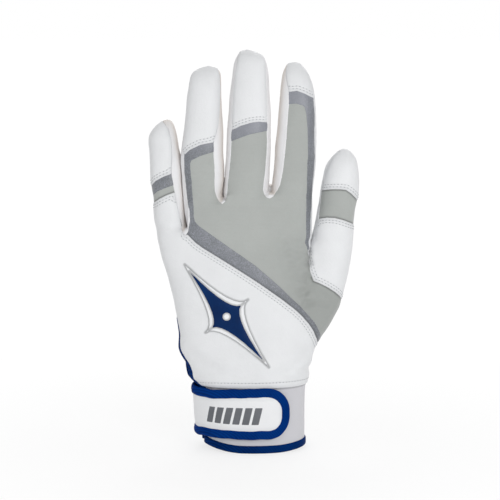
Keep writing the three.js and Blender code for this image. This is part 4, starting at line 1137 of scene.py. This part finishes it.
# Where each moving body takes over from the one before it, and over what length
bendTop = {"pinky": 160.8, "ring": 179.0, "middle": 190.3, "index": 178.2}
bendLength = {"root": 13, "knuckle": 11, "thumbRoot": 14, "thumbKnuckle": 11}
blends = {}
for name in names[:4]:
    root, top = fingers[name]["root"] + 0.4, bendTop[name]
    blends[name + "_base"] = ("hand", (0, 0, root / 1000), (0, 0, (root + bendLength["root"]) / 1000))
    blends[name + "_tip"] = (name + "_base", (0, 0, top / 1000), (0, 0, (top + bendLength["knuckle"]) / 1000))
for own, parent, end, lead, size in (
    ("thumb_base", "hand", "root", 0.4, bendLength["thumbRoot"]),
    ("thumb_tip", "thumb_base", "tip", 4.4, bendLength["thumbKnuckle"]),
):
    tilt = math.radians(thumbBend[end + "Tilt"])
    px, pz = thumbBend[end][0] + shift[0], thumbBend[end][1]
    start, stop = [
        ((px + math.sin(tilt) * s) / 1000, 0, (pz + math.cos(tilt) * s) / 1000) for s in (lead, lead + size)
    ]
    blends[own] = (parent, start, stop)


def attach(obj, bodyName):
    if bodyName in blends:
        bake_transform(obj)
    else:
        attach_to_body(obj, bodyName)


def bodyOf(sheet, nodes):
    # The body that each triangle belongs to, among those that this panel has a node for
    value = lambda key: sheet.values[key][sheet.triangles].mean(1)
    label = np.zeros(len(sheet.triangles), int)
    for i, name in enumerate(names):
        label[value(name + "Root") > 0] = 1 + 2 * i
        label[(value(name + "Tip") > 0) & (value(name + "Root") > 0)] = 2 + 2 * i
    for i, bodyName in enumerate(bodies):
        if bodyName in nodes:
            continue
        name = bodyName.rsplit("_", 1)[0]
        others = [name + "_tip", name + "_base", "hand", list(nodes)[0]]
        label[label == i] = bodies.index(next(other for other in others if other in nodes))
    return label


# What a panel's look says unless it is given, in millimetres: levels at which its edge is cut, radius and
# height of the edge, thickness, swell and roughness of the face
plainLook = {
    "levels": (0.18, 0.5, 1.0), "radius": 0.5, "thick": 0.9, "swell": 0.25, "rough": 0.1, "seed": 3,
    "rows": [], "between": [],
}
sewing = {"near": 0.9, "clear": 0.9, "groove": 0.16, "grooveWidth": 0.42, "beside": 0.45, "snap": 0.05, "far": 9.0}


def cutPanel(panel, nodes, look):
    # The panel's share of the skin, cut where its bodies meet, along its edge and along its stitches
    sheet = body.copy().cut("in_" + panel)
    for name in names:
        if name + "_base" in nodes and "hand" in nodes:
            sheet = sheet.cut(name + "Root", keep=False)
        if name + "_base" in nodes and name + "_tip" in nodes:
            sheet = sheet.cut(name + "Tip", keep=False)
    for key in look["between"]:
        sheet = sheet.cut(key, keep=False)
    sheet.values["edge"] = distanceTo(sheet.points, sheet.rim())
    for level in look["levels"]:
        sheet = sheet.cut("edge", level, keep=False, snap=sewing["snap"])
    for key, distances in look["rows"]:
        ends = sheet.rim()
        part = ends[np.abs(sheet.values[key])[ends].max(1) < sewing["near"]]
        sheet.values["sew_" + key] = distanceTo(sheet.points, part)
        for d in distances:
            for level in (d - sewing["beside"], d, d + sewing["beside"]):
                sheet = sheet.cut("sew_" + key, level, keep=False, snap=sewing["snap"])
    return sheet


def heightsOf(sheet, look):
    # How high the outer and the inner face lie over the skin, and how far each point is from a row
    e, radius, lift, swell = sheet.values["edge"], look["radius"], look["lift"], look["swell"]
    drop = np.where(e < radius, radius - np.sqrt(np.maximum(0, radius ** 2 - (radius - e) ** 2)), 0)
    swollen = swell * (1 - np.exp(-e / 4))
    fromRows = [sheet.values["sew_" + key] - d for key, distances in look["rows"] for d in distances]
    groove, row = np.zeros(len(e)), np.full(len(e), sewing["far"])
    for away in fromRows:
        groove += sewing["groove"] * np.exp(-(away / sewing["grooveWidth"]) ** 2)
        row = np.minimum(row, np.abs(away))
    high = lift - drop + swollen - groove
    for place, sign in (("back", 1), ("palm", -1)):
        weight = 1 / (1 + np.exp(-sign * sheet.values["side"] / 1.5))
        for line, depth, width in creases[place]:
            d = alongLine(sheet.values["pixels"], line)
            high -= depth * weight * (np.exp(-(d / width) ** 2) - 0.45 * np.exp(-((d - 2.1 * width) / width) ** 2))
    high += look["rough"] * (1 - np.exp(-e / 1.5)) * ripple(sheet.points, 19, look["seed"])
    return high, np.minimum(lift - look["thick"] + swollen * 0.5, high - 0.3), row


def stitchesOf(sheet, outer, look, label):
    # The stitches of all rows that keep clear of the edge, and the body that each of them moves with
    threads = []
    for key, distances in look["rows"]:
        for d in distances:
            for chain in contour(sheet, outer, sheet.values["sew_" + key], d):
                sewn = sewAlong([chain])
                if sewn is not None:
                    threads.append(sewn[0].reshape(-1, len(stitchPoints), 3))
    if not threads:
        return np.zeros((0, len(stitchPoints), 3)), np.zeros(0, int)
    every = np.concatenate(threads)
    tree = treeOf(sheet.points[sheet.triangles].mean(1))
    nearest = np.array([tree.find(m)[1] for m in every.mean(1).tolist()])
    good = sheet.values["edge"][sheet.triangles[nearest]].mean(1) > sewing["clear"]
    return every[good], label[nearest[good]]


def dress(panel, nodes, finish, look):
    look = {**plainLook, **look}
    sheet = cutPanel(panel, nodes, look)
    high, low, row = heightsOf(sheet, look)
    e = sheet.values["edge"]
    outer = sheet.points + sheet.values["normal"] * high[:, None]
    inner = sheet.points + sheet.values["normal"] * low[:, None]
    label = bodyOf(sheet, nodes)
    every, stitchLabel = stitchesOf(sheet, outer, look, label)
    real = set(map(tuple, np.sort(sheet.rim(), 1).tolist()))
    # Painted shade: full on and within about half a millimetre of the piece that the look names, gone by 1.15 mm; on
    # the fourchettes it is their painted flank shade
    cover = sheet.values[look["cover"]] if "cover" in look else np.full(len(e), sewing["far"])
    covered = np.clip((1.15 - cover) / 0.7, 0, 1)
    for i, bodyName in enumerate(bodies):
        own = sheet.triangles[label == i]
        if bodyName not in nodes or not len(own):
            continue
        used, place = np.unique(own, return_inverse=True)
        own = place.reshape(-1, 3)
        count = len(used)
        ownOuter, ownInner = outer[used], inner[used]
        walls, extra = [], []
        base = 2 * count
        for a, b in Sheet(ownOuter, own, {}).rim().tolist():
            if tuple(sorted((used[a], used[b]))) in real:
                walls += [(b, a, a + count), (b, a + count, b + count)]
            else:
                extra += [ownOuter[b], ownOuter[a], ownInner[a], ownInner[b]]
                walls += [(base, base + 1, base + 2), (base, base + 2, base + 3)]
                base += 4
        mine = every[stitchLabel == i]
        sewn = stitchFaces[None] + base + np.arange(len(mine))[:, None, None] * len(stitchPoints)
        tris = [own, own[:, ::-1] + count, np.array(walls, int).reshape(-1, 3), sewn.reshape(-1, 3)]
        kinds = np.repeat([0, 0, 0, 1], [len(t) for t in tris])
        pts = np.concatenate([ownOuter, ownInner, np.array(extra).reshape(-1, 3), mine.reshape(-1, 3)])
        # The walls and the stitches are drawn as if far from every edge and row
        rest = np.full(len(pts) - 2 * count, sewing["far"])
        obj = meshObject(
            nodes[bodyName] + "_sewn", pts, np.concatenate(tris), [paints[finish], paints["thread"]], kinds,
            {"edge": np.concatenate([e[used], e[used], rest]) / 1000,
             "row": np.concatenate([row[used], row[used], rest]) / 1000,
             "covered": np.concatenate([covered[used], np.zeros(len(pts) - count)])},
        )
        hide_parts(nodes[bodyName])
        look.get("slot", finish)
        attach(obj, bodyName)
        print(" ", obj.name, len(obj.data.polygons))


looks = {
    "stretch": {"cover": "whites", "lift": 0.0, "thick": 0.8, "levels": (), "swell": 0.2, "rough": 0.16},
    "satin": {
        "cover": "whites", "lift": 0.28, "thick": 0.5, "radius": 0.2, "levels": (0.2,), "swell": 0.2, "rough": 0.16,
    },
    "strip": {"cover": "flank", "lift": 0.4, "thick": 0.8, "slot": "white_leather"},
    "cloth": {"cover": "wrist", "lift": 0.0, "thick": 1.1, "levels": (), "swell": 0.0},
    "tape": {
        "thick": 3.0, "radius": 0.8, "levels": (0.12, 0.35, 0.8), "swell": 0.1, "rough": 0.06, "slot": "blue_tape",
    },
}
sewnLook = lambda key: {"lift": 0.62, "rows": [(key, (1.4, 2.8))]}
panels = {
    "grey": [
        {"hand": "hand_back_panel", "ring_base": "ring_back", "middle_base": "middle_back",
         "index_base": "index_back_base", "index_tip": "index_back_tip"},
        "grey_stretch", {**looks["stretch"], "swell": 0.3},
    ],
    "darkBack": [
        {"hand": "diagonal_band", "ring_base": "ring_band"}, "dark_satin", {**looks["satin"], "swell": 0.25},
    ],
    "middleBand": [{"middle_base": "middle_band"}, "dark_satin", looks["satin"]],
    "darkIndex": [
        {"hand": "side_band", "index_base": "index_edge_band", "index_tip": "index_band"},
        "dark_satin", looks["satin"],
    ],
    "pinkyBand": [{"pinky_base": "pinky_band"}, "dark_satin", looks["satin"]],
    "pinkyStripe": [
        {"pinky_base": "pinky_stripe"}, "grey_stretch", {**looks["stretch"], "lift": 0.05, "thick": 0.6},
    ],
    "thumbFlex": [{"thumb_base": "thumb_flex_panel"}, "grey_stretch", looks["stretch"]],
    "whiteBack": [
        {"hand": "wrist_back_panel", "pinky_base": "pinky_back_base"},
        "white_leather", {"lift": 0.62, "swell": 0.35, "seed": 5, "rough": 0.16, "cover": "border",
                          "rows": [("whiteBack", (1.5, 2.9)), ("seamHeight", (3.2,))]},
    ],
    "pinkyCap": [
        {"pinky_tip": "pinky_tip_cap", "pinky_base": "pinky_tip_cap"}, "white_leather", sewnLook("pinkyCap"),
    ],
    **{n + "Cap": [{n + "_tip": n + "_tip_cap"}, "white_leather", sewnLook(n + "Cap")] for n in names[1:]},
    "thumbLow": [{"thumb_base": "thumb_back_panel"}, "white_leather", sewnLook("thumbLow")],
    "gapPinkyRing": [
        {"hand": "crotch_gusset_pinky_ring", "pinky_base": "pinky_gusset_base", "pinky_tip": "pinky_gusset_tip",
         "ring_base": "ring_outer_gusset_base", "ring_tip": "ring_outer_gusset_tip"},
        "fourchette", {**looks["strip"], "between": ["line0"]},
    ],
    "gapRingMiddle": [
        {"hand": "crotch_gusset_ring_middle", "ring_base": "ring_inner_gusset_base",
         "ring_tip": "ring_inner_gusset_tip", "middle_base": "middle_outer_gusset_base",
         "middle_tip": "middle_outer_gusset_tip"},
        "fourchette", {**looks["strip"], "between": ["line1"]},
    ],
    "gapMiddleIndex": [
        {"hand": "crotch_gusset_middle_index", "middle_base": "middle_inner_gusset_base",
         "middle_tip": "middle_inner_gusset_tip", "index_base": "index_gusset_base",
         "index_tip": "index_gusset_tip"},
        "fourchette", {**looks["strip"], "between": ["line2"]},
    ],
    "cuffBack": [{"hand": "cuff_back"}, "cuff_cloth", {**looks["cloth"], "seed": 12}],
    "cuffPalm": [{"hand": "cuff_palm"}, "cuff_cloth", {**looks["cloth"], "seed": 13}],
    "hemTape": [{"hand": "cuff_hem_binding"}, "hem_tape", {**looks["tape"], "lift": 0.8, "thick": 2.7}],
    "slitTape": [{"hand": "slit_binding"}, "hem_tape", {**looks["tape"], "lift": 1.0}],
    "badgeBorder": [
        {"hand": "badge_border"},
        "border", {"lift": 1.9, "thick": 1.2, "radius": 0.45, "levels": (0.1, 0.28, 0.45), "swell": 0.3,
                   "rough": 0.16, "seed": 5, "slot": "white_leather", "cover": "star"},
    ],
    "badge": [
        {"hand": "badge"},
        "blue_badge", {"lift": 2.55, "radius": 0.6, "levels": (0.1, 0.3, 0.6), "swell": 0.45, "rough": 0.16,
                       "seed": 5},
    ],
    "palm": [
        {"hand": "palm_panel", **{f"{n}_{p}": f"{n}_palm_{p}" for n in names for p in ("base", "tip")}},
        "white_leather", {"lift": 0.45, "rough": 0.2, "seed": 8, "rows": [("seamHeight", (3.2,))]},
    ],
}


for panel, (nodes, finish, look) in panels.items():
    dress(panel, nodes, finish, look)
print("panels done")

# The cuff's own section, on which the strap and its fastening lie. Angles run from +X through the palm side
cuff = {"x": 2.2, "halfWidth": 29.2, "halfDepth": 20.5, "square": 2.05}


def onCuff(degrees, z, lift):
    angle = np.radians(degrees)
    across, through = np.cos(angle), np.sin(angle)
    bend = 2 / cuff["square"]
    px = cuff["x"] + (cuff["halfWidth"] + lift) * np.sign(across) * np.abs(across) ** bend + shift[0]
    py = (cuff["halfDepth"] + lift) * np.sign(through) * np.abs(through) ** bend + shift[1]
    return np.stack(np.broadcast_arrays(px, py, z), -1)


turnTable = np.linspace(0, 400, 1601)
runTable = np.concatenate([[0], np.cumsum(np.linalg.norm(np.diff(onCuff(turnTable, 0.0, 3.0), axis=0), axis=1))])
runAt = lambda degrees: np.interp(degrees, turnTable, runTable)
turnAt = lambda run: np.interp(run, runTable, turnTable)


def gridFaces(across, along, offset=0, flip=False):
    i, j = np.meshgrid(np.arange(across - 1), np.arange(along - 1), indexing="ij")
    a = (i * along + j).ravel() + offset
    b, c, d = a + along, a + along + 1, a + 1
    if flip:
        b, d = d, b
    return np.concatenate([np.stack([a, b, c], 1), np.stack([a, c, d], 1)])


def slab(outer, inner):
    # Closes two grids of points, the outer and the inner face of a sheet, into a solid
    across, along = outer.shape[:2]
    count = across * along
    points = np.concatenate([outer.reshape(-1, 3), inner.reshape(-1, 3)])
    faces = [gridFaces(across, along), gridFaces(across, along, count, True)]
    index = np.arange(count).reshape(across, along)
    ring = np.concatenate([index[:, 0], index[-1, 1:], index[-2::-1, -1], index[0, -2:0:-1]])
    for a, b in zip(ring, np.roll(ring, -1)):
        faces.append(np.array([[b, a, a + count], [b, a + count, b + count]]))
    return points, np.concatenate(faces)


def facingOut(points, triangles):
    a, b, c = (points[triangles[:, k]] for k in range(3))
    return triangles if np.einsum("ij,ij->i", a, np.cross(b, c)).sum() > 0 else triangles[:, ::-1]


strap = {
    "bottom": 9, "top": 37.5, "endRadius": 13, "root": 150.35, "end": 309, "thick": 1.3, "lift": 2.15,
    "rootLift": 1.3, "settle": 26, "tape": 5.2, "tapeHigh": 2.7, "crown": 0.5, "inset": 1.6, "grid": [240, 60],
    "topEdge": [[150, 0], [180, 0], [197, -1.5], [220, -1.6], [245, -0.2], [265, 0.8], [293, 0.9], [309, 0.4]],
    "lowEdge": [[150, 0], [178, -0.3], [196, -1.1], [218, -0.4], [309, -0.4]],
}
strapMiddle = (strap["bottom"] + strap["top"]) / 2
strapRun = [float(runAt(strap["root"])), float(runAt(strap["end"]))]


def strapLift(run):
    t = np.clip((turnAt(run) - strap["root"]) / strap["settle"], 0, 1)
    return strap["rootLift"] + (strap["lift"] - strap["rootLift"]) * t * t * (3 - 2 * t)


def strapBulge(degrees, z):
    # Stiff where it turns round the slit's side, so its upper part stands off
    return np.exp(-((degrees - 187) / 16) ** 2) * (1.1 + 1.6 * np.clip((z - 15) / 20, 0, 1))


def strapWarp(degrees, z):
    # The hand-cut edges wander up and down
    share = (z - strapMiddle) / (strap["top"] - strapMiddle)
    top = np.interp(degrees, *np.array(strap["topEdge"]).T)
    low = np.interp(degrees, *np.array(strap["lowEdge"]).T)
    return z + np.where(share > 0, top, low) * np.abs(share)


def strapHalf(run, inset):
    radius = strap["endRadius"] - inset
    straight = (strap["top"] - strap["bottom"]) / 2 - strap["endRadius"]
    left = np.maximum(0, strapRun[1] - inset - run)
    short = np.maximum(0, radius - left)
    return straight + np.sqrt(np.maximum(0, radius ** 2 - short ** 2))


def strapGrid(start, inset, liftAt, across, along):
    end = strapRun[1] - inset
    t = np.linspace(0, 1, across)
    runs = start + (end - start) * (1 - (1 - t) ** 1.35)
    v = np.linspace(-1, 1, along)
    half = strapHalf(runs, inset)
    z = strapMiddle + half[:, None] * v[None]
    degrees = turnAt(runs)[:, None]
    lift = liftAt(runs[:, None], v[None], z) + strapBulge(degrees, z)
    return onCuff(degrees, strapWarp(degrees, z), lift), runs, z


def strapFace(run, v, z):
    # The white face is padded: it swells between its bindings and dips where they are sewn
    edge = np.minimum(strapHalf(run, 0) - np.abs(z - strapMiddle), strapRun[1] - run)
    pad = 1 - np.exp(-np.maximum(0, edge - 3.6) / 2.6)
    wave = 0.14 * np.sin(run * 0.21 + 0.6) * np.sin(z * 0.17) + 0.08 * np.sin(run * 0.47 + z * 0.2)
    return strapLift(run) + strap["thick"] - 0.25 + pad * (strap["crown"] + wave)


# Plain slanted bars printed on the face
printed = {"span": [216, 277], "count": 6, "wide": 4.0, "slant": 2.2, "low": 17.6, "high": 27.0}


def dressStrap(obj, node):
    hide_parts(node)
    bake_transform(obj)


def makeStrap():
    outer, runs, z = strapGrid(strapRun[0], strap["inset"], strapFace, *strap["grid"])
    inner = strapGrid(strapRun[0], strap["inset"], lambda run, v, z: strapLift(run) + 0 * v, *strap["grid"])[0]
    points, triangles = slab(outer, inner)
    sheet = Sheet(points, triangles, {
        "run": np.tile(np.repeat(runs, z.shape[1]), 2), "z": np.tile(z.ravel(), 2),
        "face": np.repeat([1.0, 0.0], z.size),
    })
    first, last = (runAt(degrees) for degrees in printed["span"])
    low, high, wide, slant = (printed[key] for key in ("low", "high", "wide", "slant"))
    bars = ["bar" + str(k) for k in range(printed["count"])]
    for k, bar in enumerate(bars):
        left = first + (last - first) * k / printed["count"]
        corners = [[left, low], [left + wide, low], [left + wide + slant, high], [left + slant, high]]
        place = np.stack([sheet.values["run"], sheet.values["z"]], 1)
        sheet.values[bar] = np.where(sheet.values["face"] > 0.5, inside(place, corners, 1.0), -5.0)
        sheet = sheet.cut(bar, keep=False, snap=0.03)
    kinds = np.zeros(len(sheet.triangles), int)
    for bar in bars:
        kinds[sheet.values[bar][sheet.triangles].mean(1) > 0.001] = 1
    # The face's distance from its binding, darkened close to it by the leather paint: painted shade beside the raised
    # tape, partly wear
    run = sheet.values["run"]
    edge = np.minimum(strapHalf(run, 0) - np.abs(sheet.values["z"] - strapMiddle), strapRun[1] - run) - strap["tape"]
    obj = meshObject("strap_padded", sheet.points, facingOut(sheet.points, sheet.triangles),
                     [paints["strap_leather"], paints["print"]], kinds, {"edge": np.maximum(0, edge) / 1000})
    dressStrap(obj, "strap")


def sweptTape(path, outward, across, high, sides, groove):
    # A soft flat tape along a path, with closed ends
    ahead = np.gradient(path, axis=0)
    ahead /= np.linalg.norm(ahead, axis=1)[:, None]
    beside = np.cross(ahead, outward)
    beside /= np.linalg.norm(beside, axis=1)[:, None]
    angle = np.arange(sides) / sides * 2 * math.pi
    u = np.sign(np.cos(angle)) * np.abs(np.cos(angle)) ** 0.8
    w = np.sign(np.sin(angle)) * np.abs(np.sin(angle)) ** 0.72
    dent = groove * np.exp(-((u - 0.42) / 0.13) ** 2) * (w > 0)
    rings = []
    for p, b, n, h in zip(path, beside, outward, np.broadcast_to(high, len(path))):
        rings.append(p + np.outer(u * across / 2, b) + np.outer(w * h / 2 - dent, n))
    shrink = [(0.55, 0.32), (0.86, 0.12)]
    start = [rings[0].mean(0) + (rings[0] - rings[0].mean(0)) * f - ahead[0] * s for f, s in shrink]
    end = [rings[-1].mean(0) + (rings[-1] - rings[-1].mean(0)) * f + ahead[-1] * s for f, s in shrink[::-1]]
    points, faces = loft(start + rings + end)
    triangles = []
    for face in faces:
        triangles.append(face[:3])
        if len(face) == 4:
            triangles.append((face[0], face[2], face[3]))
    return points, np.array(triangles)


def strapTape():
    inset = strap["tape"] / 2
    radius = strap["endRadius"] - inset
    turn = strapRun[1] - strap["endRadius"]
    top, low = strap["top"] - inset, strap["bottom"] + inset
    line = [(r, top) for r in np.linspace(strapRun[0] + 0.3, turn, 110)]
    line += [(turn + radius * math.sin(a), top - radius + radius * math.cos(a)) for a in np.linspace(0.05, 1.52, 30)]
    line += [(turn + radius * math.sin(a), low + radius + radius * math.cos(a)) for a in np.linspace(1.62, 3.09, 30)]
    line += [(r, low) for r in np.linspace(turn, strapRun[0] + 0.3, 110)]
    run, z = np.array(line).T
    wander = 0.12 * np.sin(run * 0.33) + 0.08 * np.sin(run * 0.71 + z)
    degrees = turnAt(run)
    lift = strapLift(run) + strap["thick"] / 2 + strapBulge(degrees, z)
    path = onCuff(degrees, strapWarp(degrees, z) + wander, lift)
    outward = onCuff(degrees, z, 10.0) - onCuff(degrees, z, 0.0)
    outward /= np.linalg.norm(outward, axis=1)[:, None]
    high = strap["tapeHigh"] + 0.12 * np.sin(run * 0.6 + z * 0.3)
    points, triangles = sweptTape(path, outward, strap["tape"], high, 26, 0.16)
    obj = meshObject("strap_binding_rolled", points, facingOut(points, triangles), [paints["blue_tape"]])
    dressStrap(obj, "strap_binding")


def pileOn(across, along, seed, high):
    # Loops or hooks of the fastening, as a fine rough face
    rng = np.random.default_rng(seed)
    rough = rng.uniform(0, 1, (across, along))
    rough[0], rough[-1], rough[:, 0], rough[:, -1] = 0, 0, 0, 0
    return rough * high


def beltPiece(node, name, angles, z0, z1, lift, thick, material, slotName, steps, rows, shape=None, sewn=None):
    degrees = np.linspace(*angles, steps)
    z = np.linspace(z0, z1, rows)
    extra = shape(degrees[:, None], z[None]) if shape is not None else 0
    outer = onCuff(degrees[:, None], z[None], lift + thick + extra)
    inner = onCuff(degrees[:, None], z[None], lift + 0 * z[None])
    points, triangles = slab(outer, inner)
    kinds = np.zeros(len(triangles), int)
    if sewn:
        chains = []
        for corners in sewn:
            path = np.array(corners, float)
            run = np.concatenate([[0], np.cumsum(np.linalg.norm(np.diff(path, axis=0) * [0.45, 1], axis=1))])
            s = np.linspace(0, run[-1], max(8, int(run[-1])))
            a, b = np.interp(s, run, path[:, 0]), np.interp(s, run, path[:, 1])
            place = onCuff(a, b, lift + thick)
            normal = onCuff(a, b, 10.0) - onCuff(a, b, 0.0)
            chains.append((place, normal / np.linalg.norm(normal, axis=1)[:, None]))
        threads, faces = sewAlong(chains)
        triangles = np.concatenate([facingOut(points, triangles), faces + len(points)])
        kinds = np.concatenate([kinds, np.ones(len(faces), int)])
        points = np.concatenate([points, threads])
    else:
        triangles = facingOut(points, triangles)
    obj = meshObject(name, points, triangles, [paints[material], paints["thread"]], kinds,
                     {"edge": np.full(len(points), 0.009)})
    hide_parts(node)
    return obj


fastening = {
    "loop": [224, 303], "loopEdge": 4, "loopGrid": [150, 80], "backing": 0.5, "hook": 260, "hookEdge": 5.4,
    "hookGrid": [130, 64], "pile": 0.7, "pileHigh": 0.3, "gap": 0.25,
}
elastic = {"angles": [20, 160], "low": 28.7, "high": 36.7, "thick": 0.9, "lift": -2.6, "gathers": 46}
strapRoot = {"angles": [118, 149.6], "lift": 0.75, "thick": 1.5, "inset": 0.65}


def makeFastening():
    makeStrap()
    strapTape()
    low, high = strap["bottom"] + fastening["loopEdge"], strap["top"] - fastening["loopEdge"]
    loopGrid, hookGrid = fastening["loopGrid"], fastening["hookGrid"]
    loops = beltPiece("loop_patch", "loop_patch_pile", fastening["loop"], low, high, fastening["gap"],
                      fastening["backing"], "pile", "pile", *loopGrid,
                      lambda a, z: pileOn(*loopGrid, 4, fastening["pileHigh"]))
    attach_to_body(loops, "hand")
    start = float(runAt(fastening["hook"]))
    lift = 2 * fastening["gap"] + fastening["pile"]
    hooks = pileOn(*hookGrid, 9, fastening["pileHigh"])
    outer = strapGrid(start, fastening["hookEdge"], lambda run, v, z: lift + fastening["pile"] + 0 * z, *hookGrid)[0]
    inner = strapGrid(start, fastening["hookEdge"], lambda run, v, z: lift + hooks, *hookGrid)[0]
    points, triangles = slab(outer, inner)
    patch = meshObject("hook_patch_pile", points, facingOut(points, triangles), [paints["pile"]])
    dressStrap(patch, "hook_patch")
    gather = lambda a, z: (
        0.3 * np.sin(np.radians(a) * elastic["gathers"] + 0.5 * np.sin(z * 0.9)) + 0.08 * np.sin(z * 3.3))
    band = beltPiece("wrist_elastic", "wrist_elastic_gathered", elastic["angles"], elastic["low"], elastic["high"],
                     elastic["lift"], elastic["thick"], "cuff_cloth", "cuff_cloth", 320, 22, gather)
    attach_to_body(band, "hand")
    a0, a1 = strapRoot["angles"]
    z0, z1 = strap["bottom"] + strapRoot["inset"], strap["top"] - strapRoot["inset"]
    box = [[a0 + 4, z0 + 2], [a1 - 4, z0 + 2], [a1 - 4, z1 - 2], [a0 + 4, z1 - 2], [a0 + 4, z0 + 2]]
    nearRim = lambda a, z: np.minimum(np.minimum(a - a0, a1 - a) / 2.2, np.minimum(z - z0, z1 - z))
    swell = lambda a, z: 0.35 * np.minimum(1, nearRim(a, z) + 0.15)
    end = beltPiece("strap_root", "strap_root_sewn", strapRoot["angles"], z0, z1, strapRoot["lift"] - 0.45,
                    strapRoot["thick"], "white_leather", "white_leather", 50, 60, swell, [box])
    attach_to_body(end, "hand")


makeFastening()
print("cuff and strap done")


def seenRays(tree):
    # Rays that show a thing: from the camera, mirrored or let through
    path = tree.nodes.new("ShaderNodeLightPath")
    total = path.outputs["Is Camera Ray"]
    for name in ("Is Glossy Ray", "Is Transmission Ray"):
        largest = tree.nodes.new("ShaderNodeMath")
        largest.operation = "MAXIMUM"
        tree.links.new(total, largest.inputs[0])
        tree.links.new(path.outputs[name], largest.inputs[1])
        total = largest.outputs[0]
    return total


def studio():
    scene = bpy.context.scene
    world = bpy.data.worlds.new("studio")
    scene.world = world
    world.use_nodes = True
    tree = world.node_tree
    tree.nodes["Background"].inputs["Color"].default_value = (1, 1, 1, 1)
    tree.nodes["Background"].inputs["Strength"].default_value = 0.58
    white = tree.nodes.new("ShaderNodeBackground")
    white.inputs["Color"].default_value = (1, 1, 1, 1)
    white.inputs["Strength"].default_value = 1.0
    mix = tree.nodes.new("ShaderNodeMixShader")
    tree.links.new(seenRays(tree), mix.inputs[0])
    tree.links.new(tree.nodes["Background"].outputs[0], mix.inputs[1])
    tree.links.new(white.outputs[0], mix.inputs[2])
    tree.links.new(mix.outputs[0], tree.nodes["World Output"].inputs["Surface"])
    lamps = [
        ("key", (0.45, -1.0, 0.4), 0.6, 4.7), ("fill", (-0.8, -0.8, 0.3), 0.9, 1.5),
        ("back", (0.1, 0.9, 0.7), 0.8, 3.4),
    ]
    for name, place, size, power in lamps:
        data = bpy.data.lights.new(name, "AREA")
        data.size = size
        data.energy = power
        lamp = bpy.data.objects.new(name, data)
        scene.collection.objects.link(lamp)
        lamp.location = place
        lamp.rotation_euler = (Vector((0, 0, 0.12)) - Vector(place)).to_track_quat("-Z", "Y").to_euler()
    bpy.ops.mesh.primitive_plane_add(size=6, location=(0, 0, -0.0002))
    floor = bpy.context.active_object
    floor.name = "floor"
    material = bpy.data.materials.new("paleFloor")
    material.use_nodes = True
    tree = material.node_tree
    shader = tree.nodes["Principled BSDF"]
    shader.inputs["Base Color"].default_value = (0.97, 0.97, 0.97, 1)
    shader.inputs["Roughness"].default_value = 0.9
    glow = tree.nodes.new("ShaderNodeEmission")
    glow.inputs["Strength"].default_value = 1.02
    coords = tree.nodes.new("ShaderNodeTexCoord")
    far = tree.nodes.new("ShaderNodeVectorMath")
    far.operation = "LENGTH"
    tree.links.new(coords.outputs["Object"], far.inputs[0])
    fade = tree.nodes.new("ShaderNodeMapRange")
    for socket, value in ((1, 0.09), (2, 0.3), (3, 0.72), (4, 1.0)):
        fade.inputs[socket].default_value = value
    tree.links.new(far.outputs["Value"], fade.inputs[0])
    weight = tree.nodes.new("ShaderNodeMath")
    weight.operation = "MULTIPLY"
    tree.links.new(fade.outputs[0], weight.inputs[1])
    tree.links.new(seenRays(tree), weight.inputs[0])
    mix = tree.nodes.new("ShaderNodeMixShader")
    tree.links.new(weight.outputs[0], mix.inputs[0])
    tree.links.new(shader.outputs[0], mix.inputs[1])
    tree.links.new(glow.outputs[0], mix.inputs[2])
    tree.links.new(mix.outputs[0], tree.nodes["Material Output"].inputs["Surface"])
    floor.data.materials.append(material)
    scene.view_settings.view_transform = "Standard"


studio()

# A node that no mesh above replaces is shown plain
slots = {s["node"]: s["material_slot"] for s in frame["record"]["subparts"]}
for node, obj in frame["nodes"].items():
    if obj.hide_render:
        continue
    obj.data.materials.clear()
    obj.data.materials.append(paints[slots[node]])
    print("plain", node)
